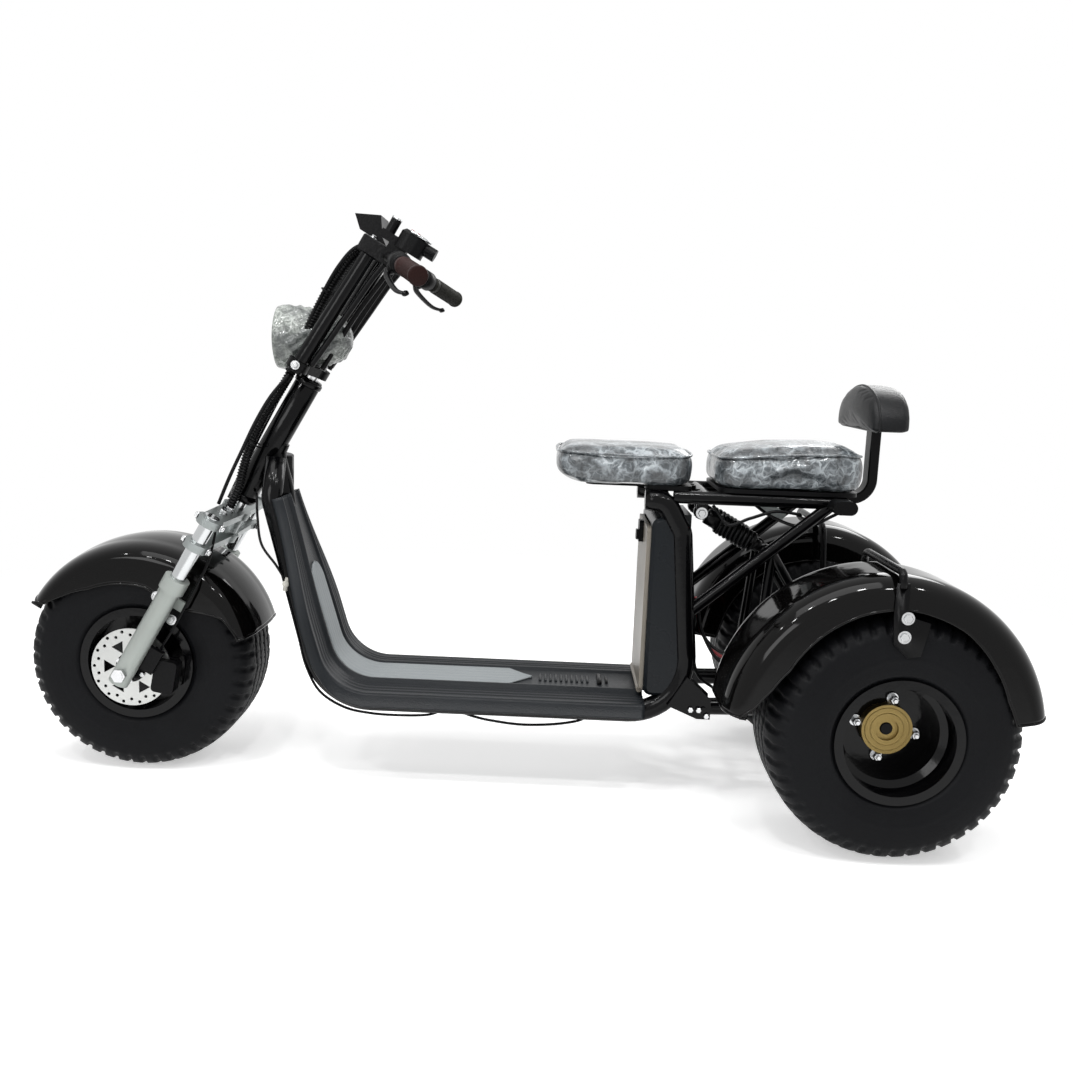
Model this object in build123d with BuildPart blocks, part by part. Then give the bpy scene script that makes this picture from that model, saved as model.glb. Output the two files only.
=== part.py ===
from build123d import *
import os
from math import cos, radians, sin

os.makedirs("parts", exist_ok=True)

# Three-wheel electric scooter, millimetres.
# +X points to the front wheel, +Y to the rider's left, +Z up, floor at Z = 0.

# Wheels and stance
wheelbase = 1446.0
half_track = 280.0
tyre_radius = 228.0
tyre_width = 220.0
tyre_crown_width = 112.0
tyre_bead_width = 193.0
rim_seat_radius = 101.6
rim_lip_radius = 114.0
rim_flange = 7.5
rim_width = tyre_bead_width + 2 * rim_flange
rim_wall = 3.5
fit_gap = 0.3
soft_gap = 0.3

front_axle_x = 739.6
rear_axle_x = front_axle_x - wheelbase
axle_z = tyre_radius

# Rear fenders, placed from the rear wheels
rear_fender_radius = tyre_radius + 58.0
rear_fender_wall = 2.5
rear_fender_forward = 23.0
rear_fender_inner = half_track - 89.0
rear_fender_outer = half_track + 110.0
rear_fender_skirt = 74.0
rear_fender_front_angle = 9.0
rear_fender_rear_angle = 170.0
rear_fender_rise = 4.0
rear_fender_corner = 48.0
rear_fender_x = rear_axle_x + rear_fender_forward
rear_fender_z = axle_z + rear_fender_rise
# The outer skirt ends on a larger circle that lies lower
skirt_drop = 51.0
skirt_radius = rear_fender_radius + 5.0

# Steering and fork, laid out on a plane square to the steering axis
rake = 29.4
leg_y = 165.0
stanchion_radius = 15.0
slider_radius = 20.0
slider_collar_radius = 25.0
slider_top = 221.0
slider_bottom = -24.0
slider_bore_depth = 120.0
crown_low = 288.0
crown_high = 342.0
crown_plate = 16.0
steerer_radius = 14.0
head_radius = 26.0
head_low = 376.0
head_high = 666.0
head_gap = 1.0
yoke_low = 676.0
yoke_thick = 18.0
riser_y = 75.0
riser_low_o = 20.0
riser_top_o = 8.0
riser_radius = 15.0
riser_top = 936.0
axle_radius = 9.0
axle_bore_gap = 0.2

# Handlebar
bar_radius = 11.0
# distance ahead of the steering axis, distance to the side, height along the axis
bar_shoulder_at = (-27.5, 92.0, 955.5)
bar_tip_at = (-131.0, 328.0, 953.0)
bar_bend = 45.0
grip_radius = 16.5
grip_length = 122.0

# Front fender
front_fender_radius = tyre_radius + 20.0
front_fender_wall = 2.5
front_fender_half = tyre_width / 2 + 7.5
front_fender_skirt = 102.0
front_fender_front_angle = 31.0
front_fender_rear_angle = 190.0
# radius, angle: lower edge of the side skirts from the front lip to the rear end
front_skirt_edge = (
    (234, 30.9),
    (213, 34),
    (193, 44),
    (164, 66),
    (163, 88),
    (158, 103),
    (148, 109),
    (148, 131),
    (168, 138),
    (214, 152),
    (221, 168),
    (223, 190.1),
)

# Frame tubes, one bent tube each side
tube_radius = 21.0
tube_y = 100.0
floor_line_z = 171.0
front_bend = 130.0
rear_bend = 110.0
top_bend = 48.0
hook_bend = 38.0
slope_top_at = (-91.6, 439.6)
slope_top_y = 48.0
slope_corner_x = front_axle_x - 380.0
rear_corner_x = -374.0
upright_top = (-341.0, 540.0)
hook_x = (-306.0, -266.0)
neck_joint_at = (-23.5, 495.0)
neck_y = 30.0

# Footboard
board_half = 150.0
board_top_half = 76.0
board_taper = 245.0
board_rise = 33.0
board_edge_rise = 27.0
board_skirt = 4.0
board_wall = 4.0
mat_half = 58.0
mat_thick = 3.0
mat_start = 150.0
mat_tip_x = -58.0

# Battery box
box_front_x = -282.0
box_back_x = -362.0
box_low_z = 208.5
box_high_z = 572.0
box_half = 76.0
box_cover_half = 112.0
box_wall = 4.0
door_thick = 8.0
door_half = 98.0
door_low = 214.0
door_high = 548.0

# Seats
seat_half = 125.0
rider_seat_front = -81.0
rider_seat_back = -366.0
rider_seat_low = 631.0
rider_seat_high = 700.0
pillion_front = -393.0
pillion_back = -704.0
pillion_low = rider_seat_low
pillion_high = 719.0
seat_base = 8.0
rail_radius = 12.5
rail_z = pillion_low - seat_base - 2 * soft_gap - rail_radius
rail_end_x = -655.0
cross_radius = rail_radius - 1
last_cross_x = rail_end_x + 14
hook_z = rider_seat_low - seat_base - 2 * soft_gap - tube_radius
strut_radius = 12.0

# Rear axle and suspension
arm_radius = 17.0
arm_y = 104.0
arm_pivot = (-402.0, 190.0)
arm_bend = (-560.0, 195.0)
lug_half = arm_radius + 7.0
housing_radius = 26.0
rear_shaft_radius = 12.0
motor_radius = 88.0
motor_half = 84.0
shock_y = 46.0
shock_top = (-383.0, 575.0)
shock_bottom = (-519.0, 501.0)
shock_ear = 15.0
shock_body_radius = 11.0
spring_radius = 22.0
spring_turn = 8.5
mast_y = 76.0


def radial_plane(x, z, angle):
    """Plane through the Y line at x, z whose local x points out at the given angle."""
    along = cos(radians(angle))
    up = sin(radians(angle))
    return Plane(origin=(x, 0, z), x_dir=(along, 0, up), z_dir=(-up, 0, along))


def along_y(x, y, z):
    """Plane whose normal is +Y, local x forward."""
    return Plane(origin=(x, y, z), x_dir=(1, 0, 0), z_dir=(0, 1, 0))


def side_plane(x, y, z):
    """Plane whose normal is -Y, local x forward and local y up."""
    return Plane(origin=(x, y, z), x_dir=(1, 0, 0), z_dir=(0, -1, 0))


def spin_axis(x, y):
    """Wheel axis through the axle height."""
    return Axis((x, y, axle_z), (0, 1, 0))


fork = radial_plane(front_axle_x, axle_z, rake)


def on_fork(ahead, side, height):
    """Point given ahead of the steering axis, to the side and along the axis."""
    return fork.from_local_coords((ahead, side, height))


slope_top = on_fork(slope_top_at[0], 0, slope_top_at[1])
neck_joint = on_fork(neck_joint_at[0], 0, neck_joint_at[1])

# Side tubes of the frame
frame_sides = {}
for side, sign in (("left", 1), ("right", -1)):
    with BuildPart() as frame_tube:
        with BuildLine() as tube_line:
            FilletPolyline(
                (neck_joint.X, sign * neck_y, neck_joint.Z),
                (slope_top.X, sign * slope_top_y, slope_top.Z),
                (slope_corner_x, sign * tube_y, floor_line_z),
                (rear_corner_x, sign * tube_y, floor_line_z),
                (upright_top[0], sign * tube_y, upright_top[1]),
                (hook_x[0], sign * tube_y, hook_z),
                (hook_x[1], sign * tube_y, hook_z),
                radius=(top_bend, front_bend, rear_bend, hook_bend, hook_bend),
            )
        with BuildSketch(Plane(origin=tube_line.line @ 0, z_dir=tube_line.line % 0)):
            Circle(tube_radius)
        sweep(path=tube_line.line)
    frame_sides[side] = frame_tube
    frame_tube.part.label = "frame_" + side
    export_step(frame_tube.part, "parts/frame_" + side + ".step")

# Head tube with its neck and the two cross tubes of the floor
with BuildPart() as frame_neck:
    with BuildSketch(fork.offset(head_low)):
        Circle(head_radius)
    extrude(amount=head_high - head_low)
    with BuildLine() as neck_line:
        Line(on_fork(-4, 0, 500), (slope_top.X - 4, 0, slope_top.Z - 40))
    with BuildSketch(Plane(origin=neck_line.line @ 0, x_dir=(0, 1, 0), z_dir=neck_line.line % 0)):
        RectangleRounded(56, 44, 16)
    sweep(path=neck_line.line)
    with BuildSketch(Plane.XZ.offset(-slope_top_y)):
        with Locations((slope_top.X - 8, slope_top.Z - 40)):
            Circle(19)
    extrude(amount=2 * slope_top_y)
    with BuildSketch(fork.offset(head_low)):
        Circle(steerer_radius + head_gap)
    extrude(amount=head_high - head_low, mode=Mode.SUBTRACT)
    add(frame_sides["left"].part, mode=Mode.SUBTRACT)
    add(frame_sides["right"].part, mode=Mode.SUBTRACT)
frame_neck.part.label = "frame_neck"
export_step(frame_neck.part, "parts/frame_neck.step")

# Floor cross tubes and the lugs that hold the rear arm
with BuildPart() as frame_cross:
    for x in (220.0, -20.0, -250.0):
        with BuildSketch(Plane.XZ.offset(-tube_y)):
            with Locations((x, floor_line_z)):
                Circle(14)
        extrude(amount=2 * tube_y)
    add(frame_sides["left"].part, mode=Mode.SUBTRACT)
    add(frame_sides["right"].part, mode=Mode.SUBTRACT)
frame_cross.part.label = "frame_cross"
export_step(frame_cross.part, "parts/frame_cross.step")

with BuildPart() as arm_lugs:
    for sign in (1, -1):
        with BuildSketch(Plane.XZ.offset(-sign * arm_y - lug_half)):
            with BuildLine():
                Polyline(
                    (rear_corner_x + 8, floor_line_z + 84),
                    (rear_corner_x + 44, floor_line_z + 24),
                    (arm_pivot[0] + 12, arm_pivot[1] - 20),
                    (arm_pivot[0] - 14, arm_pivot[1] - 20),
                    (arm_pivot[0] - 14, arm_pivot[1] + 20),
                    (rear_corner_x + 8, floor_line_z + 84),
                )
            make_face()
        extrude(amount=2 * lug_half)
    for sign in (1, -1):
        with BuildSketch(Plane.XZ.offset(-sign * arm_y - arm_radius - fit_gap)):
            with Locations((arm_pivot[0] - 4, arm_pivot[1])):
                Rectangle(50, 64)
        extrude(amount=2 * (arm_radius + fit_gap), mode=Mode.SUBTRACT)
    add(frame_sides["left"].part, mode=Mode.SUBTRACT)
    add(frame_sides["right"].part, mode=Mode.SUBTRACT)
    for sign in (1, -1):
        with BuildSketch(Plane.XZ.offset(-sign * arm_y - lug_half - 4)):
            with Locations((arm_pivot[0], arm_pivot[1])):
                Circle(6)
        extrude(amount=2 * lug_half + 8)
arm_lugs.part.label = "arm_lugs"
export_step(arm_lugs.part, "parts/arm_lugs.step")

# Moulded footboard, one section carried along the floor line
with BuildLine() as board_line:
    FilletPolyline(
        slope_top,
        (slope_corner_x, 0, floor_line_z),
        (box_front_x - 2, 0, floor_line_z),
        radius=front_bend,
    )
board_plane = Plane(origin=board_line.line @ 0, x_dir=(0, -1, 0), z_dir=board_line.line % 0)
taper_plane = Plane(origin=board_line.line @ 0, x_dir=(0, 1, 0), z_dir=board_plane.y_dir)
with BuildPart() as footboard:
    with BuildSketch(board_plane):
        with BuildLine():
            Polyline(
                (0, board_rise),
                (mat_half + 10, board_rise),
                (mat_half + 24, board_edge_rise),
                (board_half - 12, board_edge_rise),
                (board_half, board_edge_rise - 9),
                (board_half, board_skirt),
                (board_half - board_wall, board_skirt),
                (board_half - board_wall, board_edge_rise - 9 - board_wall / 2),
                (board_half - 14, board_edge_rise - board_wall),
                (mat_half + 22, board_edge_rise - board_wall),
                (mat_half + 8, board_rise - board_wall),
                (0, board_rise - board_wall),
                (0, board_rise),
            )
        make_face()
        mirror(about=Plane.YZ)
    sweep(path=board_line.line)
    # The board narrows to its top, and its side walls follow the taper
    for sign in (1, -1):
        with BuildSketch(taper_plane):
            with BuildLine():
                Polyline(
                    (sign * board_top_half, -1),
                    (sign * (board_half + 1), -1),
                    (sign * (board_half + 1), board_taper),
                    (sign * board_half, board_taper),
                    (sign * board_top_half, -1),
                )
            make_face()
        extrude(amount=board_rise + 1, mode=Mode.SUBTRACT)
        with BuildSketch(taper_plane.offset(board_skirt)):
            with BuildLine():
                Polyline(
                    (sign * board_top_half, 0),
                    (sign * board_half, board_taper),
                    (sign * (board_half - board_wall), board_taper),
                    (sign * (board_top_half - board_wall), 0),
                    (sign * board_top_half, 0),
                )
            make_face()
        extrude(amount=board_edge_rise - board_skirt - 1)
    for side in ("left", "right"):
        add(frame_sides[side].part, mode=Mode.SUBTRACT)
footboard.part.label = "footboard"
export_step(footboard.part, "parts/footboard.step")

# Pale mat laid in the middle of the board, its tail cut to a point
with BuildPart() as floor_mat:
    with BuildSketch(board_plane):
        with Locations((0, board_rise + mat_thick / 2)):
            Rectangle(2 * mat_half, mat_thick)
    sweep(path=board_line.line)
    with BuildSketch(Plane.XY.offset(floor_line_z)):
        with BuildLine():
            Polyline(
                (mat_tip_x, 0),
                (mat_tip_x + 42, mat_half + 1),
                (mat_tip_x + 42, mat_half + 40),
                (box_front_x - 40, mat_half + 40),
                (box_front_x - 40, -mat_half - 40),
                (mat_tip_x + 42, -mat_half - 40),
                (mat_tip_x + 42, -mat_half - 1),
                (mat_tip_x, 0),
            )
        make_face()
    extrude(amount=board_rise + 27, mode=Mode.SUBTRACT)
    with BuildSketch(board_plane):
        Rectangle(4 * board_half, 4 * board_rise + 60)
    extrude(amount=mat_start, mode=Mode.SUBTRACT)
floor_mat.part.label = "floor_mat"
export_step(floor_mat.part, "parts/floor_mat.step")

# Battery box: inner case between the uprights and covers that meet the tubes
with BuildPart() as battery_box:
    with BuildSketch(Plane.XZ.offset(-box_half)):
        with BuildLine():
            Polyline(
                (box_front_x, box_low_z),
                (box_front_x, box_high_z - 18),
                (box_front_x - 24, box_high_z),
                (box_back_x, box_high_z),
                (box_back_x, box_low_z + 20),
                (box_back_x + 20, box_low_z),
                (box_front_x, box_low_z),
            )
        make_face()
    extrude(amount=2 * box_half)
    with BuildSketch(Plane.XZ.offset(-box_cover_half)) as cover_side:
        with BuildLine():
            Polyline(
                (box_front_x, box_low_z),
                (box_front_x, box_high_z - 8),
                (box_front_x - 30, box_high_z),
                (upright_top[0] + 4, box_high_z - 24),
                (box_back_x - 4, box_low_z),
                (box_front_x, box_low_z),
            )
        make_face()
        fillet(cover_side.vertices().group_by(Axis.Z)[-1], radius=16)
    extrude(amount=2 * box_cover_half)
    for sign in (1, -1):
        outer_face = battery_box.faces().sort_by(Axis.Y)[-1 if sign > 0 else 0]
        chamfer(outer_face.edges(), length=7)
    with BuildSketch(Plane.XZ.offset(-box_half + box_wall)):
        with BuildLine():
            Polyline(
                (box_front_x + 1, box_low_z + box_wall),
                (box_front_x + 1, box_high_z - 20),
                (box_front_x - 22, box_high_z - box_wall),
                (box_back_x + box_wall, box_high_z - box_wall),
                (box_back_x + box_wall, box_low_z + box_wall + 18),
                (box_back_x + 18, box_low_z + box_wall),
                (box_front_x + 1, box_low_z + box_wall),
            )
        make_face()
    extrude(amount=2 * (box_half - box_wall), mode=Mode.SUBTRACT)
    for side in ("left", "right"):
        add(frame_sides[side].part, mode=Mode.SUBTRACT)
    add(arm_lugs.part, mode=Mode.SUBTRACT)
battery_box.part.label = "battery_box"
export_step(battery_box.part, "parts/battery_box.step")

with BuildPart() as battery_pack:
    with BuildSketch(Plane.XY.offset(box_low_z + box_wall + 0.3)):
        with Locations(((box_front_x + box_back_x) / 2 + 7, 0)):
            Rectangle(52, 2 * (box_half - box_wall) - 6)
    extrude(amount=320)
    fillet(battery_pack.edges().filter_by(Axis.Z), radius=6)
battery_pack.part.label = "battery_pack"
export_step(battery_pack.part, "parts/battery_pack.step")

# Battery door, hinged along its lower edge, with a latch at the top
with BuildPart() as battery_door:
    with BuildSketch(Plane.YZ.offset(box_front_x + fit_gap)):
        with Locations((0, (door_low + door_high) / 2)):
            RectangleRounded(2 * door_half, door_high - door_low, 8)
    extrude(amount=door_thick)
    with BuildSketch(along_y(box_front_x + fit_gap + 6, -door_half + 10, door_low)):
        Circle(6)
    extrude(amount=2 * (door_half - 10))
battery_door.part.label = "battery_door"
export_step(battery_door.part, "parts/battery_door.step")

with BuildPart() as door_latch:
    with BuildSketch(Plane.YZ.offset(box_front_x + fit_gap + door_thick)):
        with Locations((0, door_high - 22)):
            RectangleRounded(34, 44, 6)
    extrude(amount=9)
    with BuildSketch(Plane.YZ.offset(box_front_x + fit_gap + door_thick + 9)):
        with Locations((0, door_high - 30)):
            RectangleRounded(22, 20, 4)
    extrude(amount=5)
door_latch.part.label = "door_latch"
export_step(door_latch.part, "parts/door_latch.step")

# Rear frame: two rails, two struts and three cross tubes
with BuildPart() as seat_frame:
    for sign in (1, -1):
        with BuildLine() as rail_line:
            Line((upright_top[0] + 20, sign * tube_y, rail_z), (rail_end_x, sign * tube_y, rail_z))
        with BuildSketch(Plane(origin=rail_line.line @ 0, z_dir=rail_line.line % 0)):
            Circle(rail_radius)
        sweep(path=rail_line.line)
        with BuildLine() as strut_line:
            Line((rail_end_x + 22, sign * tube_y, rail_z), (-355, sign * tube_y, 372))
        with BuildSketch(Plane(origin=strut_line.line @ 0, z_dir=strut_line.line % 0)):
            Circle(strut_radius)
        sweep(path=strut_line.line)
    for x in (shock_top[0] - 4, last_cross_x):
        with BuildSketch(Plane.XZ.offset(-tube_y)):
            with Locations((x, rail_z)):
                Circle(cross_radius)
        extrude(amount=2 * tube_y)
    # Ears and pins for the upper eyes of the shocks
    for y in (shock_y - shock_ear, shock_y + shock_ear, -shock_y - shock_ear, -shock_y + shock_ear):
        with BuildSketch(side_plane(shock_top[0], y + 2, shock_top[1])):
            with Locations((0, (rail_z - shock_top[1]) / 2)):
                Rectangle(22, rail_z - shock_top[1] + 20)
        extrude(amount=4)
    for y in (shock_y, -shock_y):
        with BuildSketch(side_plane(shock_top[0], y + shock_ear, shock_top[1])):
            Circle(5)
        extrude(amount=2 * shock_ear)
    add(frame_sides["left"].part, mode=Mode.SUBTRACT)
    add(frame_sides["right"].part, mode=Mode.SUBTRACT)
seat_frame.part.label = "seat_frame"
export_step(seat_frame.part, "parts/seat_frame.step")

# Seat bases and cushions; each cushion is its plan outline cut to a side profile
with BuildPart() as rider_base:
    with BuildSketch(Plane.XY.offset(rider_seat_low - seat_base - soft_gap)):
        with Locations(((hook_x[1] + rider_seat_back) / 2 + 4, 0)):
            RectangleRounded(hook_x[1] - rider_seat_back - 8, 2 * seat_half - 50, 20)
        with Locations(((hook_x[1] + rider_seat_front) / 2 - 50, 0)):
            RectangleRounded(rider_seat_front - hook_x[1] - 40, 2 * seat_half - 140, 20)
    extrude(amount=seat_base)
rider_base.part.label = "rider_base"
export_step(rider_base.part, "parts/rider_base.step")

with BuildPart() as rider_seat:
    with BuildSketch(Plane.XZ.offset(-seat_half)):
        with BuildLine():
            Polyline(
                (rider_seat_back, rider_seat_low),
                (rider_seat_front - 110, rider_seat_low),
                (rider_seat_front - 16, rider_seat_low + 12),
                (rider_seat_front, rider_seat_low + 28),
                (rider_seat_front - 4, rider_seat_high - 18),
                (rider_seat_front - 30, rider_seat_high),
                (rider_seat_back, rider_seat_high),
                (rider_seat_back, rider_seat_low),
            )
        make_face()
    extrude(amount=2 * seat_half)
    with BuildSketch(Plane.XY.offset(rider_seat_low)):
        with Locations(((rider_seat_front + rider_seat_back) / 2, 0)):
            RectangleRounded(rider_seat_front - rider_seat_back, 2 * seat_half, 50)
    extrude(amount=rider_seat_high - rider_seat_low, mode=Mode.INTERSECT)
    chamfer(rider_seat.faces().sort_by(Axis.Z)[-1].edges(), length=14, length2=9)
rider_seat.part.label = "rider_seat"
export_step(rider_seat.part, "parts/rider_seat.step")

with BuildPart() as pillion_base:
    with BuildSketch(Plane.XY.offset(pillion_low - seat_base - soft_gap)):
        with Locations(((pillion_front + pillion_back) / 2 + 4, 0)):
            RectangleRounded(pillion_front - pillion_back - 40, 2 * seat_half - 30, 30)
    extrude(amount=seat_base)
pillion_base.part.label = "pillion_base"
export_step(pillion_base.part, "parts/pillion_base.step")

with BuildPart() as pillion_seat:
    with BuildSketch(Plane.XZ.offset(-seat_half)):
        with BuildLine():
            Polyline(
                (pillion_back + 40, pillion_low),
                (pillion_front - 10, pillion_low),
                (pillion_front, pillion_low + 14),
                (pillion_front - 4, pillion_high - 34),
                (pillion_front - 28, pillion_high - 19),
                (pillion_back + 64, pillion_high),
                (pillion_back + 18, pillion_high - 6),
                (pillion_back, pillion_high - 26),
                (pillion_back, pillion_low + 20),
                (pillion_back + 40, pillion_low),
            )
        make_face()
    extrude(amount=2 * seat_half)
    with BuildSketch(Plane.XY.offset(pillion_low)):
        with Locations(((pillion_front + pillion_back) / 2, 0)):
            RectangleRounded(pillion_front - pillion_back, 2 * seat_half, 55)
    extrude(amount=pillion_high - pillion_low, mode=Mode.INTERSECT)
    chamfer(pillion_seat.faces().filter_by(Axis.Y).edges().group_by(Axis.Z)[-1], length=12)
pillion_seat.part.label = "pillion_seat"
export_step(pillion_seat.part, "parts/pillion_seat.step")

# Backrest: bent bar from the last cross tube and a half-round pad on top of it
post_x = pillion_back - 24
post_width = 40.0
post_thick = 20.0
pad_front = post_x + 48
pad_back = post_x - 34
pad_half = 140.0
pad_low = 752.0
pad_high = 842.0
with BuildPart() as backrest_post:
    with BuildLine() as post_line:
        FilletPolyline(
            (last_cross_x - cross_radius - fit_gap, 0, rail_z),
            (post_x, 0, rail_z),
            (post_x, 0, pad_low - soft_gap),
            radius=40,
        )
    with BuildSketch(Plane(origin=post_line.line @ 0, x_dir=(0, 1, 0), z_dir=post_line.line % 0)):
        RectangleRounded(post_width, post_thick, 4)
    sweep(path=post_line.line)
backrest_post.part.label = "backrest_post"
export_step(backrest_post.part, "parts/backrest_post.step")

with BuildPart() as backrest_pad:
    with BuildSketch(Plane.YZ.offset(pad_back)):
        with BuildLine():
            Line((-pad_half, pad_low), (pad_half, pad_low))
            Line((pad_half, pad_low), (pad_half, pad_low + 8))
            ThreePointArc((pad_half, pad_low + 8), (0, pad_high), (-pad_half, pad_low + 8))
            Line((-pad_half, pad_low + 8), (-pad_half, pad_low))
        make_face()
    extrude(amount=pad_front - pad_back)
    fillet(backrest_pad.edges().group_by(Axis.X)[0], radius=5)
backrest_pad.part.label = "backrest_pad"
export_step(backrest_pad.part, "parts/backrest_pad.step")

# Rear arm with the uprights that meet the shocks
with BuildPart() as rear_arm:
    for sign in (1, -1):
        with BuildLine() as arm_line:
            FilletPolyline(
                (arm_pivot[0], sign * arm_y, arm_pivot[1]),
                (arm_bend[0], sign * arm_y, arm_bend[1]),
                (rear_axle_x, sign * arm_y, axle_z),
                radius=90,
            )
        with BuildSketch(Plane(origin=arm_line.line @ 0, z_dir=arm_line.line % 0)):
            Circle(arm_radius)
        sweep(path=arm_line.line)
        with BuildSketch(Plane.XZ.offset(-sign * arm_y - arm_radius)):
            with Locations((arm_pivot[0], arm_pivot[1])):
                Circle(arm_radius)
        extrude(amount=2 * arm_radius)
        with BuildLine() as mast_line:
            Polyline(
                (arm_bend[0] + 60, sign * arm_y, arm_bend[1]),
                (shock_bottom[0] - 6, sign * mast_y, shock_bottom[1]),
                (rear_axle_x + 18, sign * arm_y, axle_z + 14),
            )
        with BuildSketch(Plane(origin=mast_line.line @ 0, z_dir=mast_line.line % 0)):
            Circle(10)
        sweep(path=mast_line.line, transition=Transition.ROUND)
    with BuildSketch(Plane.XZ.offset(-mast_y)):
        with Locations((shock_bottom[0], shock_bottom[1])):
            Circle(7)
    extrude(amount=2 * mast_y)
    with BuildSketch(Plane.XZ.offset(-half_track + 78)):
        with Locations((rear_axle_x, axle_z)):
            Circle(housing_radius + fit_gap)
    extrude(amount=2 * (half_track - 78), mode=Mode.SUBTRACT)
    for sign in (1, -1):
        with BuildSketch(Plane.XZ.offset(-sign * arm_y - 20)):
            with Locations((arm_pivot[0], arm_pivot[1])):
                Circle(6 + fit_gap)
        extrude(amount=40, mode=Mode.SUBTRACT)
rear_arm.part.label = "rear_arm"
export_step(rear_arm.part, "parts/rear_arm.step")

# Axle housing with its motor
with BuildPart() as axle_housing:
    with BuildSketch(Plane.XZ.offset(-half_track + 78)):
        with Locations((rear_axle_x, axle_z)):
            Circle(housing_radius)
    extrude(amount=2 * (half_track - 78))
    with BuildSketch(Plane.XZ.offset(-half_track - 10)):
        with Locations((rear_axle_x, axle_z)):
            Circle(rear_shaft_radius)
    extrude(amount=2 * (half_track + 10))
    with BuildSketch(Plane.XZ.offset(-motor_half)):
        with Locations((rear_axle_x, axle_z)):
            Circle(motor_radius + 0.3)
    extrude(amount=2 * motor_half, mode=Mode.SUBTRACT)
axle_housing.part.label = "axle_housing"
export_step(axle_housing.part, "parts/axle_housing.step")

with BuildPart() as drive_motor:
    with BuildSketch(Plane.XZ.offset(-motor_half + 0.3)):
        with Locations((rear_axle_x, axle_z)):
            Circle(motor_radius)
    extrude(amount=2 * motor_half - 0.6)
    chamfer(drive_motor.edges().filter_by(GeomType.CIRCLE), length=10)
drive_motor.part.label = "drive_motor"
export_step(drive_motor.part, "parts/drive_motor.step")

# Shocks: plain damper bodies with a coil on each
shock_run = Vector(shock_bottom[0] - shock_top[0], 0, shock_bottom[1] - shock_top[1])
shock_length = shock_run.length
with BuildPart() as rear_shocks:
    for sign in (1, -1):
        shock_plane = Plane(
            origin=(shock_top[0], sign * shock_y, shock_top[1]), z_dir=shock_run.normalized()
        )
        with BuildSketch(shock_plane):
            Circle(shock_body_radius)
        extrude(amount=shock_length)
        for x, z in (shock_top, shock_bottom):
            with BuildSketch(Plane.XZ.offset(-sign * shock_y - 12)):
                with Locations((x, z)):
                    Circle(14)
            extrude(amount=24)
        with BuildSketch(shock_plane.offset(18)):
            Circle(spring_radius - 5)
        extrude(amount=26)
        for turn in range(8):
            with BuildSketch(shock_plane.offset(46 + turn * spring_turn)):
                Circle(spring_radius)
            extrude(amount=spring_turn / 2)
    with BuildSketch(Plane.XZ.offset(-shock_y - 30)):
        with Locations((shock_bottom[0], shock_bottom[1])):
            Circle(7 + fit_gap)
        with Locations((shock_top[0], shock_top[1])):
            Circle(5 + fit_gap)
    extrude(amount=2 * (shock_y + 30), mode=Mode.SUBTRACT)
rear_shocks.part.label = "rear_shocks"
export_step(rear_shocks.part, "parts/rear_shocks.step")

# Rear fenders: half-round shells with side skirts and a rounded front corner
for side, sign in (("left", 1), ("right", -1)):
    with BuildPart() as rear_fender:
        with BuildSketch(radial_plane(rear_fender_x, rear_fender_z, rear_fender_front_angle)):
            with BuildLine():
                Polyline(
                    (rear_fender_radius - rear_fender_skirt, sign * rear_fender_inner),
                    (rear_fender_radius - 9, sign * rear_fender_inner),
                    (rear_fender_radius, sign * (rear_fender_inner + 22)),
                    (rear_fender_radius, sign * (rear_fender_outer - 24)),
                    (rear_fender_radius - 9, sign * rear_fender_outer),
                    (rear_fender_radius - rear_fender_skirt, sign * rear_fender_outer),
                )
                offset(amount=rear_fender_wall / 2, side=Side.BOTH)
            make_face()
        revolve(
            axis=Axis((rear_fender_x, 0, rear_fender_z), (0, -1, 0)),
            revolution_arc=rear_fender_rear_angle - rear_fender_front_angle,
        )
        with BuildSketch(along_y(rear_fender_x, sign * (rear_fender_outer - 5), rear_fender_z)):
            with Locations((0, skirt_drop)):
                Circle(skirt_radius)
        extrude(amount=sign * 10, mode=Mode.SUBTRACT)
        corner_y = sign * (rear_fender_outer + rear_fender_wall - rear_fender_corner)
        corner_z = rear_fender_radius * sin(radians(rear_fender_front_angle)) + rear_fender_corner
        with BuildSketch(Plane.YZ.offset(rear_fender_x + rear_fender_radius - 60)):
            with Locations((corner_y + sign * 30, rear_fender_z + corner_z - 40)):
                Rectangle(60, 80)
            with Locations((corner_y, rear_fender_z + corner_z)):
                Circle(rear_fender_corner, mode=Mode.SUBTRACT)
        extrude(amount=70, mode=Mode.SUBTRACT)
        with BuildSketch(along_y(rear_axle_x, sign * half_track - tyre_width, axle_z)):
            Circle(tyre_radius + 8)
        extrude(amount=2 * tyre_width, mode=Mode.SUBTRACT)
    rear_fender.part.label = "rear_fender_" + side
    export_step(rear_fender.part, "parts/rear_fender_" + side + ".step")

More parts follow.
